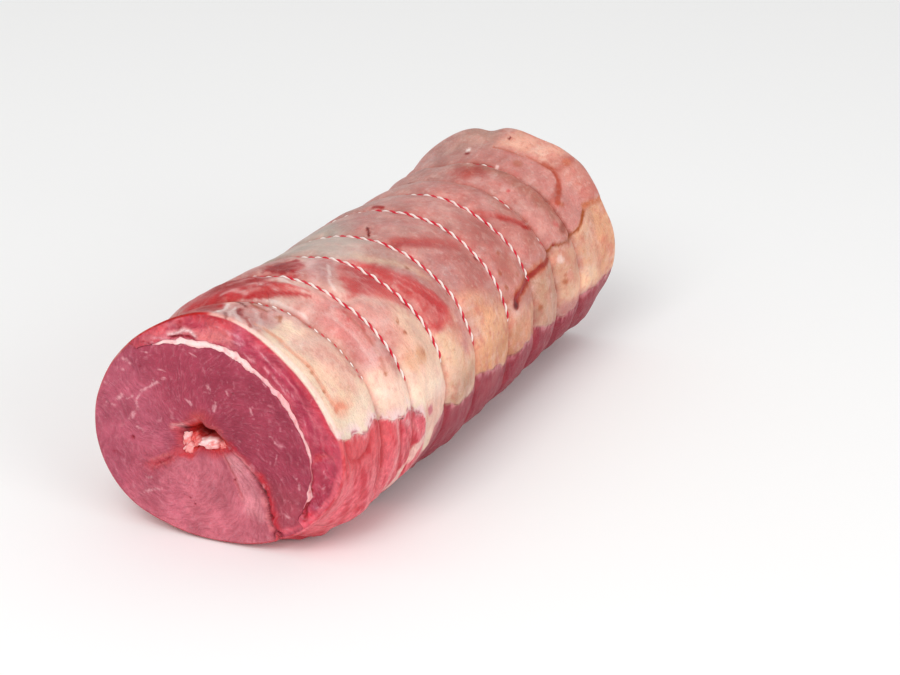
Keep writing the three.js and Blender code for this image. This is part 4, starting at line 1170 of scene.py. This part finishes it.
def end_rows(theta, at, sign, seed):
    """Rows of points at one end, from the bottom of the hollow up to its mouth and out to the skin."""
    centre_x, centre_z = HOLLOW_CENTRE
    rim = hollow_radius(theta)
    count = len(theta)
    even = np.mean([np.roll(rim, k) for k in range(-count // 14, count // 14 + 1)], 0)
    skin_x, skin_z = section_xz(theta, inner_outline(theta, at), at)
    width = np.hypot(skin_x - centre_x, skin_z - centre_z)
    rows = []
    for share in np.linspace(1, 0, HOLLOW_ROWS + 1)[:-1]:
        radius = mix(rim, even, share ** .6) * mix(1, HOLLOW_END, share ** .45)
        x = centre_x + radius * np.cos(theta) + HOLLOW_DRIFT[0] * share
        z = centre_z + radius * np.sin(theta) + HOLLOW_DRIFT[1] * share
        depth = HOLLOW_DEPTH * share ** 1.3 + HOLLOW_LIP
        rows.append(np.stack([x, np.full(count, at + sign * depth), z], -1))
    for share in np.linspace(0, 1, int(FACE_ROWS / STEP))[:-1]:
        x = mix(centre_x + rim * np.cos(theta), skin_x, share)
        z = mix(centre_z + rim * np.sin(theta), skin_z, share)
        dent = face_dent(x, z, seed) + HOLLOW_LIP * bell(share * width, 2.4)
        dent = dent * smooth((1 - share) * width / 1.5 + .15)
        rows.append(np.stack([x, at + sign * dent, z], -1))
    return rows


def build_inner_muscle(materials):
    columns = int(INNER_COLUMNS / STEP)
    theta = np.radians(-36 + 360 * (np.arange(columns) + .5) / columns)
    front, back = end_rows(theta, 0.0, 1, 0), end_rows(theta, LENGTH, -1, BACK_SEED)
    side = [on_section(theta, inner_outline(theta, f), f) for f in rows_along(2.2 * STEP, 1.1 * STEP)]
    grid = np.array(front + side + back[::-1])
    end_kinds = ["hollow"] * HOLLOW_ROWS + ["face"] * (len(front) - HOLLOW_ROWS)
    kind = np.array(end_kinds + ["skin"] * len(side) + end_kinds[::-1])
    is_skin = (kind == "skin")[:, None]

    x, f, z = np.moveaxis(grid, -1, 0)
    theta = np.arctan2(z - AXIS_HEIGHT * girth(f), x - bow(f))
    colour, muscle = paint_skin(theta, f)
    colour = np.where(is_skin[..., None], colour, paint_face(x, z, False))
    under_layers = is_skin & between(wall_clock(theta), OUTER_SPAN)
    colour = np.where(under_layers[..., None], rgb(FACE_DARK), colour)
    deep = np.abs(to_end(f))
    # Hollow walls: painted light deeper in against the hollow's shade, painted shade on its left side
    wall = lay(
        plain(FACE_HALO, x),
        ((220, 76, 68), smooth((deep - 1.8) / 2)),
        ((212, 72, 64), smooth((deep - 3.5) / 6)),
        ((110, 26, 24), smooth((-15 - x) / 3) * smooth((deep - 1.6) / 1.5)),
    )
    colour = np.where((kind == "hollow")[:, None, None], wall, colour)

    quads, caps = grid_faces(len(grid), columns, wrap_columns=True), end_fans(columns, x.size)
    on_side = is_skin[:-1, 0] & is_skin[1:, 0]
    which = [on_side[quads[:, 0] // columns], np.zeros(len(caps))]
    muscle = np.where(is_skin, muscle, 1.0)
    return cut_piece("muscle_inner", grid, [quads, caps], materials, which, colour, muscle, middles=True)


# Layers around the inner muscle

FRONT, OUTER, BACK, INNER = 1, 2, 3, 4  # the four sides of a layer's loop of rows


def edge_cap(loop, columns, column):
    """Triangles that close the side of a layer along one of its edges."""
    sides = np.array([side for _, _, side in loop])
    index = {side: np.flatnonzero(sides == side) for side in (FRONT, OUTER, BACK, INNER)}
    front = np.append(index[FRONT], index[OUTER][0])
    back = np.append(index[OUTER][-1], index[BACK])
    inner = np.concatenate([index[FRONT][:1], index[INNER][::-1], index[BACK][-1:]])
    outer = index[OUTER]
    faces = [(front[0], front[i], front[i + 1]) for i in range(1, len(front) - 1)]
    faces += [(back[-1], back[i], back[i + 1]) for i in range(len(back) - 2)]
    i = j = 0
    while i < len(inner) - 1 or j < len(outer) - 1:
        next_inner = loop[inner[i + 1]][0] if i < len(inner) - 1 else math.inf
        next_outer = loop[outer[j + 1]][0] if j < len(outer) - 1 else math.inf
        if next_inner < next_outer:
            faces.append((inner[i], outer[j], inner[i + 1]))
            i += 1
        else:
            faces.append((inner[i], outer[j], outer[j + 1]))
            j += 1
    return np.array(faces) * columns + column


def layered(name, columns, theta_of, inner_of, outer_of, rows_out, rows_in, face_rows, materials, paint):
    """A layer of the roll: a closed loop of rows runs over its skin and back along its inner side."""
    shares = np.linspace(0, 1, face_rows)
    loop = [(0.0, share, FRONT) for share in shares[:-1]] + [(f, 1.0, OUTER) for f in rows_out]
    loop += [(LENGTH, share, BACK) for share in shares[::-1][1:]]
    loop += [(f, 0.0, INNER) for f in rows_in[::-1][1:-1]]
    rows, thetas = [], []
    for f, share, side in loop:
        theta = theta_of(f)
        inner, outer = inner_of(theta, f), outer_of(theta, f)
        row = on_section(theta, mix(inner, outer, share), f)
        if side in (FRONT, BACK):
            sign, seed = (1, 0) if side == FRONT else (-1, BACK_SEED)
            near = np.minimum(share, 1 - share) * (outer - inner)
            row[:, 1] += sign * face_dent(row[:, 0], row[:, 2], seed) * smooth(near / 1.5 + .15)
        rows.append(row)
        thetas.append(theta)
    grid, theta = np.array(rows), np.array(thetas)
    x, f, z = np.moveaxis(grid, -1, 0)
    is_face = np.array([side in (FRONT, BACK) for _, _, side in loop])[:, None]
    face_colour, skin_colour, muscle = paint(theta, x, np.clip(f, 0, LENGTH), z)
    colour = np.where(is_face[..., None], face_colour, skin_colour)
    quads = grid_faces(len(loop), columns, wrap_rows=True)
    caps = np.concatenate([edge_cap(loop, columns, 0), edge_cap(loop, columns, columns - 1)[:, ::-1]])
    on_side = ~(is_face[:, 0] | np.roll(is_face[:, 0], -1))
    which = [on_side[quads[:, 0] // columns], np.ones(len(caps))]
    return cut_piece(name, grid, [quads, caps], materials, which, colour, np.where(is_face, 1.0, muscle))


def build_outer_muscle(materials):
    columns = int(OUTER_COLUMNS / STEP)
    theta = np.radians(np.linspace(*OUTER_SPAN, columns))

    def paint(theta, x, f, z):
        return paint_face(x, z, True), *paint_skin(theta, f)

    return layered(
        "muscle_outer", columns, lambda f: theta, lambda t, f: beside_seam(t, f, 1),
        lambda t, f: below_cover(t, f, LAYER_GAP), rows_along(1.7 * STEP, STEP), rows_along(9, 5),
        int(BAND_ROWS / STEP), materials, paint)


def build_cover(materials):
    columns = int(COVER_COLUMNS / STEP)
    share = np.linspace(0, 1, columns)

    def theta_of(f):
        return np.radians(mix(cover_lower(f) + .01, cover_upper(f) - .01, share))

    def paint(theta, x, f, z):
        edge = lay(plain(CREAM, x), (WHITE, .4), (FACE_OUTER, .3 * smooth(fbm(x, z, 5, 171))))
        return edge, *paint_skin(theta, f)

    return layered(
        "cover", columns, theta_of, lambda t, f: skin(t, f) - cover_depth(t, f), skin,
        rows_along(1.35 * STEP, .95 * STEP), rows_along(4, 2), 5, materials, paint)


def build_seam(materials):
    columns = int(SEAM_COLUMNS / STEP)
    theta = np.radians(np.linspace(*SEAM_SPAN, columns))

    def paint(theta, x, f, z):
        distance, angle = from_seam(x, z)
        thin = smooth((.7 - seam_half(angle)) / .4)
        colour = lay(
            plain(FAT_WHITE, x),
            ((236, 172, 174), .7 * smooth((distance / seam_half(angle) - .35) * 1.3)),
            ((234, 172, 176), .75 * smooth((x - 14) / 14)),
            ((234, 168, 170), .5 * smooth(fbm(x, z, 3, 181) + .1)),
            ((216, 124, 132), .5 * smooth(fbm(x, z, 1.6, 183) * 1.4 - .3)),
            ((190, 92, 108), .75 * thin),
            ((236, 186, 196), .4 * smooth(fbm(x, z, 5, 184) - .2) * thin),
            # Painted shade in the gaps at the seam's top
            *(((128, 56, 72), .8 * ridge(x, z, gap, .45)) for gap in (TOP_GAP, TOP_GAP_RIGHT)),
        )
        return colour, colour, np.zeros_like(x)

    return layered(
        "seam", columns, lambda f: theta, lambda t, f: seam_edge(t, f, -1), lambda t, f: seam_edge(t, f, 1),
        rows_along(9, 5), rows_along(9, 5), 9, materials, paint)


# Fat lumps in the front hollow: middle (x, f, z), half sizes, turn in the face's plane, seed, paleness
LUMPS = [
    ((-18.4, 8.2, 49.0), (3.0, 6.6, 4.7), -7, 1, .6), ((-17.2, 8.0, 45.2), (4.2, 6.6, 3.3), 16, 2, .5),
    ((-5.8, 7.8, 48.9), (6.4, 6.6, 3.1), 4, 3, 1), ((-12.6, 9.0, 48.6), (2.6, 6.2, 2.6), -24, 4, .2),
    ((2.0, 8.4, 49.2), (3.4, 6.2, 2.3), -14, 5, .2), ((-15.0, 9.6, 49.0), (2.4, 6.0, 3.8), 0, 6, 0),
]
LUMP_RINGS, LUMP_SIDES = 26, 40
LUMP_RED, LUMP_PALE = (226, 112, 110), (246, 192, 192)


def lump(middle, half, turn, seed, pale):
    """Points, quads, triangles and colours of one lump of fat: a rounded block with an uneven surface."""
    up = np.pi * (np.arange(LUMP_RINGS) + .5) / LUMP_RINGS
    turn_around = 2 * np.pi * np.arange(LUMP_SIDES) / LUMP_SIDES
    u, v = np.meshgrid(up, turn_around, indexing="ij")
    n = np.stack([np.sin(u) ** .5 * np.cos(v), np.cos(u), np.sin(u) ** .5 * np.sin(v)], -1)
    swell = 1 + .16 * fbm(n[..., 0] * 2 + seed * 9, n[..., 2] * 2 + n[..., 1], .9, 190 + seed)
    across, along, rise = np.moveaxis(n * np.array(half) * swell[..., None], -1, 0)
    x, z = turned(across, rise, turn)
    x, f, z = x + middle[0], along + middle[1], z + middle[2]
    tone = mix(np.array(LUMP_RED), np.array(LUMP_PALE), pale)
    # Painted highlight on each lump's top, painted shade on its underside and deeper in the hollow
    colour = lay(
        plain(tone, x),
        ((254, 224, 222), .9 * pale * smooth(.8 * n[..., 2] + .5 + .6 * fbm(x, z, 2.4, 195))),
        ((212, 84, 84), .6 * smooth(-n[..., 2] - .3 + .6 * fbm(x, z, 2.2, 197))),
        ((214, 86, 84), .5 * smooth(fbm(x, z, 1.8, 199) * 1.5 - .4)),
        ((190, 52, 52), .85 * smooth((f - 3.6) / 4)),
    )
    grid = to_part(x, f, z)
    points = np.concatenate([grid.reshape(-1, 3), grid[[0, -1]].mean(1)])
    colours = np.concatenate([colour.reshape(-1, 3), colour[[0, -1], 0]])
    quads = grid_faces(LUMP_RINGS, LUMP_SIDES, wrap_columns=True)
    return points, quads, end_fans(LUMP_SIDES, x.size), colours


def build_centre_fat(materials):
    points, faces, colours = joined([lump(*row) for row in LUMPS])
    return new_piece("fat_lumps", points, faces, materials, colours, {"muscle": np.zeros((len(points), 1))})


# String

PLY_RADII, PLY_OFFSET, PITCH, PLY_SIDES = (.62, .57), .5, 7.8, 7
STRING_WHITE, STRING_RED = (250, 238, 232), (212, 62, 76)
KNOT_RADII, KNOT_SIZE, KNOT_HEIGHT = (.62, .5), .72, 1.6
TAIL_REACH, TAIL_LENGTH, TAIL_POINTS = 12, 16, 26
TAIL_CLEARANCE = .9
STRING_REACH = 1.15  # from the middle of a string to the outside of its plies, and a little more
BURIED, BURIED_LEFT = -1.3, -.5  # heights over the skin where a string doesn't show
GUIDE = np.array([.13, .98, .17])  # a direction that no strand runs along


def unit(vectors):
    return vectors / np.linalg.norm(vectors, axis=1, keepdims=True)


def tube(path, radius, closed, tone):
    """Points, quads, triangles and colours of a tube around a path in millimetres."""
    ahead = np.roll(path, -1, 0) if closed else np.concatenate([path[1:], path[-1:] * 2 - path[-2:-1]])
    behind = np.roll(path, 1, 0) if closed else np.concatenate([path[:1] * 2 - path[1:2], path[:-1]])
    tangent = unit(ahead - behind)
    side = unit(np.cross(tangent, GUIDE))
    other = np.cross(tangent, side)
    turn = 2 * np.pi * np.arange(PLY_SIDES) / PLY_SIDES
    ring = np.cos(turn)[None, :, None] * side[:, None] + np.sin(turn)[None, :, None] * other[:, None]
    points = (path[:, None] + radius * ring).reshape(-1, 3)
    quads = grid_faces(len(path), PLY_SIDES, wrap_rows=closed, wrap_columns=True)
    caps = np.empty((0, 3), int) if closed else end_fans(PLY_SIDES, len(points))
    if not closed:
        points = np.concatenate([points, path[[0, -1]]])
    return to_part(*points.T), quads, caps, np.broadcast_to(rgb(tone), points.shape)


def twisted(path, out, closed):
    """Tubes of the two plies around a string's path, where out points away from the flesh."""
    step = np.linalg.norm(np.diff(path, axis=0, append=path[:1] if closed else path[-1:]), axis=1)
    length = np.concatenate([[0], np.cumsum(step)[:-1]])
    total = length[-1] + (step[-1] if closed else 0)
    turns = max(1, round(total / PITCH)) if closed else total / PITCH
    phase = 2 * np.pi * turns * length / total
    tangent = unit(np.gradient(path, axis=0))
    side = unit(np.cross(tangent, out))
    up = np.cross(side, tangent)
    tubes = []
    for start, radius, tone in zip((0, np.pi), PLY_RADII, (STRING_WHITE, STRING_RED)):
        across = np.cos(phase + start)[:, None] * up + np.sin(phase + start)[:, None] * side
        tubes.append(tube(path + PLY_OFFSET * across, radius, closed, tone))
    return tubes


def string_path(loop, count):
    theta = 2 * np.pi * np.arange(count) / count
    f = loop.at + .5 * value_noise(np.cos(theta) * 2 + 3, np.sin(theta) * 2 + loop.at, 201)
    angle = wall_clock(theta)
    on_left = smooth((angle - 140) / 30) * smooth((262 - angle) / 20)
    buried = mix(BURIED, BURIED_LEFT, on_left)
    sinking = .3 * smooth((36 - angle) / 18) + .45 * smooth((angle - 84) / 18) * smooth((150 - angle) / 20)
    radius = skin(theta, f) + mix(buried, loop.lift - sinking, shown(theta, loop))
    floor = (AXIS_HEIGHT * girth(f) - STRING_REACH) / np.maximum(-np.sin(theta), .1)
    radius = np.where(np.sin(theta) < -.5, np.minimum(radius, floor), radius)
    return on_section(theta, radius, f), outwards(theta)


def knot_tubes(start, at, base):
    """A small overhand knot of a white and a red strand."""
    t = np.linspace(0, 2 * np.pi, 49)[:-1]
    tangle = np.stack([np.sin(t) + 2 * np.sin(2 * t), np.cos(t) - 2 * np.cos(2 * t), -.8 * np.sin(3 * t)], -1)
    axes = np.array([(0, 1, 0), (-math.sin(start), 0, math.cos(start)), outwards(start)])
    knot = on_section(start, base, at) + KNOT_SIZE * tangle @ axes
    beside = np.roll(knot, 8, 0) + np.array([.35, .2, .3])
    return [tube(knot, KNOT_RADII[0], True, STRING_WHITE), tube(beside, KNOT_RADII[1], True, STRING_RED)]


def tail_tubes(start, at, base, side):
    """One cut tail of the string, which runs down from the knot to the skin."""
    share = np.linspace(0, 1, TAIL_POINTS)
    f = at + side * TAIL_REACH * share
    theta = start + (side * .3 + .55) * share * TAIL_LENGTH / HALF_WIDTH
    clear = skin(theta, f) + TAIL_CLEARANCE
    radius = np.maximum(clear, mix(base + .6, clear, smooth(share / .5)))
    return twisted(on_section(theta, radius, f), outwards(theta), False)


def build_string(number, loop, look):
    start = math.radians(loop.knot)
    base = float(skin(start, loop.at)) + KNOT_HEIGHT
    tubes = twisted(*string_path(loop, int(STRING_COUNT / STEP)), True) + knot_tubes(start, loop.at, base)
    for side in (1, -1):
        tubes += tail_tubes(start, loop.at, base, side)
    points, faces, colours = joined(tubes)
    attributes = {"muscle": np.zeros((len(points), 1))}
    return new_piece(f"twine_{number}", points, faces, [look], colours, attributes)


# Materials. Tones here are linear surface colours.

class Look:
    """A material with short calls for its nodes."""

    def __init__(self, name):
        self.material = bpy.data.materials.new(name)
        self.material.use_nodes = True
        self.tree = self.material.node_tree
        self.shader = self.tree.nodes["Principled BSDF"]
        self.colour = None

    def node(self, kind, links=None, **settings):
        made = self.tree.nodes.new(kind)
        for key, value in settings.items():
            setattr(made, key, value)
        for key, value in (links or {}).items():
            self.feed(made.inputs[key], value)
        return made

    def feed(self, socket, value):
        if isinstance(value, bpy.types.NodeSocket):
            self.tree.links.new(value, socket)
        else:
            socket.default_value = value

    def set(self, **values):
        for key, value in values.items():
            self.feed(self.shader.inputs[key.replace("_", " ")], value)

    def attribute(self, name):
        return self.node("ShaderNodeAttribute", attribute_name=name).outputs

    def noise(self, vector, scale, detail=3.0, roughness=.55, stretch=None):
        if stretch is not None:
            links = {0: vector, 1: stretch}
            vector = self.node("ShaderNodeVectorMath", links, operation="MULTIPLY").outputs[0]
        links = {"Vector": vector, "Scale": scale, "Detail": detail, "Roughness": roughness}
        return self.node("ShaderNodeTexNoise", links).outputs["Fac"]

    def math(self, operation, a, b):
        return self.node("ShaderNodeMath", {0: a, 1: b}, operation=operation).outputs[0]

    def remap(self, value, low, high, to_low, to_high):
        links = {"Value": value, "From Min": low, "From Max": high, "To Min": to_low, "To Max": to_high}
        return self.node("ShaderNodeMapRange", links).outputs["Result"]

    def blend(self, amount, a, b, mode="MIX"):
        made = self.node("ShaderNodeMix", {0: amount, 6: a, 7: b}, data_type="RGBA", blend_type=mode)
        return made.outputs[2]

    def tinge(self, source, limits, amounts, tone, share=None):
        """Lays a tone over the colour, by how high the source lies between two limits."""
        amount = self.remap(source, *limits, *amounts)
        if share is not None:
            amount = self.math("MULTIPLY", amount, share)
        self.colour = self.blend(amount, self.colour, (*tone, 1))

    def finish(self, roughness, heights, distance, strength):
        """Sets the colour, the roughness, and bumps from a sum of heights with their weights."""
        height = None
        for source, weight in heights:
            part = source if weight == 1 else self.math("MULTIPLY", source, weight)
            height = part if height is None else self.math("ADD", height, part)
        bump = self.node("ShaderNodeBump", {"Height": height, "Distance": distance, "Strength": strength})
        self.set(Base_Color=self.colour, Roughness=roughness, Normal=bump.outputs["Normal"])
        return self.material


def tinted_look(name, soft, radius=(1.0, .35, .25), depth=.004):
    """A look whose colour starts from the piece's own tint, and the place in the piece for its noises."""
    look = Look(name)
    look.set(Subsurface_Weight=soft, Subsurface_Radius=radius, Subsurface_Scale=depth)
    look.colour = look.attribute("tint")["Color"]
    return look, look.node("ShaderNodeTexCoord").outputs["Object"]


def wet_look(name, soft):
    look, spot = tinted_look(name, soft)
    look.set(Coat_Weight=.08, Coat_Roughness=.18, Coat_IOR=1.36, IOR=1.36, Specular_IOR_Level=.3)
    return look, spot


def skin_look():
    look, spot = wet_look("fell_and_fat", .12)
    muscle = look.attribute("muscle")["Fac"]
    green = look.node("ShaderNodeSeparateColor", {0: look.colour}).outputs[1]
    mottle = look.noise(spot, 130, 5)
    blotch = look.noise(spot, 310, 5, .65)
    fine = look.noise(spot, 820, 4, .65)
    strands = look.noise(spot, 420, 4, .6, (1.0, 2.6, 1.0))
    film = look.noise(spot, 75, 6, .65, (1.0, .45, 1.0))
    value = look.math("ADD", look.remap(mottle, .3, .7, .95, 1.05), look.remap(fine, .3, .7, -.07, .07))
    shade = look.node("ShaderNodeCombineColor", {0: value, 1: value, 2: value}).outputs[0]
    look.colour = look.blend(1.0, look.colour, shade, "MULTIPLY")
    pale = look.math("MULTIPLY", look.remap(green, .015, .18, .1, 1), look.remap(muscle, 0, 1, 1, .25))
    look.tinge(film, (.54, .74), (0, .3), (.86, .74, .70), pale)
    look.tinge(blotch, (.54, .72), (0, .13), (.60, .22, .18))
    look.tinge(blotch, (.34, .46), (.16, 0), (.92, .76, .66), pale)
    look.tinge(fine, (.62, .76), (0, .18), (.60, .18, .15))
    look.tinge(strands, (.35, .65), (0, .45), (.40, .05, .07), muscle)
    heights = [(fine, .6), (film, .9), (strands, .5), (blotch, .7)]
    return look.finish(look.remap(mottle, .3, .7, .3, .5), heights, .0009, .9)


def cut_look():
    look, spot = wet_look("cut_muscle", .1)
    rays, rings = (look.noise(look.attribute(name)["Vector"], .62, 4, .58) for name in ("rays", "rings"))
    curled = look.math("MULTIPLY", look.math("SUBTRACT", rings, rays), look.attribute("curl")["Fac"])
    fibres = look.math("ADD", rays, curled)
    bundles = look.noise(spot, 380, 4, .65)
    grainy = look.noise(spot, 1250, 3, .65)
    mottle = look.noise(spot, 130, 5)
    look.tinge(fibres, (.38, .52), (.3, 0), (.24, .03, .05))
    look.tinge(fibres, (.54, .74), (0, .22), (.76, .33, .38))
    look.tinge(grainy, (.34, .58), (.2, 0), (.24, .03, .05))
    look.tinge(bundles, (.56, .76), (0, .2), (.78, .34, .40))
    look.tinge(grainy, (.64, .8), (0, .3), (.86, .46, .50))
    look.tinge(mottle, (.35, .65), (.14, 0), (.34, .05, .08))
    heights = [(fibres, 2.2), (grainy, .4), (bundles, .7)]
    return look.finish(look.remap(grainy, .3, .7, .34, .56), heights, .0007, .85)


def fat_look():
    look, spot = wet_look("soft_fat", .2)
    lumps, fine = look.noise(spot, 420, 4), look.noise(spot, 1300, 3)
    look.tinge(lumps, (.4, .7), (0, .3), (.82, .42, .38))
    return look.finish(look.remap(lumps, .3, .7, .3, .48), [(lumps, 1), (fine, .4)], .0006, .6)


def string_look():
    look, spot = tinted_look("string", .08, (1.0, .7, .6), .0006)
    fibres = look.noise(spot, 2600, 4, .65, (1.0, 3.0, 1.0))
    soil = look.noise(spot, 160, 4)
    look.tinge(soil, (.45, .75), (0, .35), (.72, .30, .28))
    look.tinge(fibres, (.3, .5), (.25, 0), (.45, .12, .12))
    return look.finish(.8, [(fibres, 1)], .0003, .8)


SKIN, CUT, FAT, STRING = skin_look(), cut_look(), fat_look(), string_look()

for builder, looks, node, slot in (
    (build_inner_muscle, [CUT, SKIN], "inner_muscle", "inner_muscle"),
    (build_outer_muscle, [CUT, SKIN], "outer_muscle", "outer_muscle"),
    (build_cover, [FAT, SKIN], "fat_cover", "cover_fat"),
    (build_seam, [FAT, FAT], "fat_seam", "seam_fat"),
    (build_centre_fat, [FAT], "centre_fat", "centre_fat"),
):
    piece = builder(looks)
    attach(piece, "root")
    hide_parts(node)

for number, loop in enumerate(LOOPS, 1):
    piece = build_string(number, loop, STRING)
    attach(piece, "root")
    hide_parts(f"string_{number}")


# Floor, light and camera, in metres

FLOOR_HALF, FLOOR_TONE = 6.0, (.97, .97, .965, 1)
LIGHTS_AIM_AT = (0, 0, .05)
# Lights: name, place, size and power
LIGHTS = [("key", (.2, -2.4, 2.2), (1.7, 1.7), 45), ("side", (2.6, -1.4, 1.0), (1.8, 1.4), 28)]
WORLD_BRIGHTNESS = .66
CAMERA_AT, CAMERA_TURN = (.64323, -1.29051, .60079), (math.radians(69), 0, math.radians(25))
SENSOR_MM, LENS_MM = 36, 120


def add_object(name, data):
    made = bpy.data.objects.new(name, data)
    bpy.context.scene.collection.objects.link(made)
    return made


def build_floor():
    mesh = bpy.data.meshes.new("floor")
    corners = [(x, y, 0) for x, y in rect(-FLOOR_HALF, FLOOR_HALF, -FLOOR_HALF, FLOOR_HALF)]
    mesh.from_pydata(corners, [], [(0, 1, 2, 3)])
    look = Look("pale_floor")
    look.set(Base_Color=FLOOR_TONE, Roughness=.9)
    mesh.materials.append(look.material)
    add_object("floor", mesh)


def area_light(name, at, size, power):
    light = bpy.data.lights.new(name, "AREA")
    light.shape = "RECTANGLE"
    light.size, light.size_y = size
    light.energy = power
    lamp = add_object(name, light)
    lamp.location = at
    lamp.rotation_euler = (Vector(LIGHTS_AIM_AT) - Vector(at)).to_track_quat("-Z", "Y").to_euler()


def set_world():
    world = bpy.data.worlds.new("studio")
    world.use_nodes = True
    background = world.node_tree.nodes["Background"]
    background.inputs["Color"].default_value = (1, 1, 1, 1)
    background.inputs["Strength"].default_value = WORLD_BRIGHTNESS
    bpy.context.scene.world = world


def set_camera():
    camera = bpy.data.cameras.new("camera")
    camera.sensor_width, camera.lens = SENSOR_MM, LENS_MM
    camera.clip_start, camera.clip_end = .05, 50
    holder = add_object("camera", camera)
    holder.location = CAMERA_AT
    holder.rotation_euler = Euler(CAMERA_TURN)
    bpy.context.scene.camera = holder


build_floor()
for light in LIGHTS:
    area_light(*light)
set_world()
set_camera()
bpy.context.scene.view_settings.view_transform = "Standard"
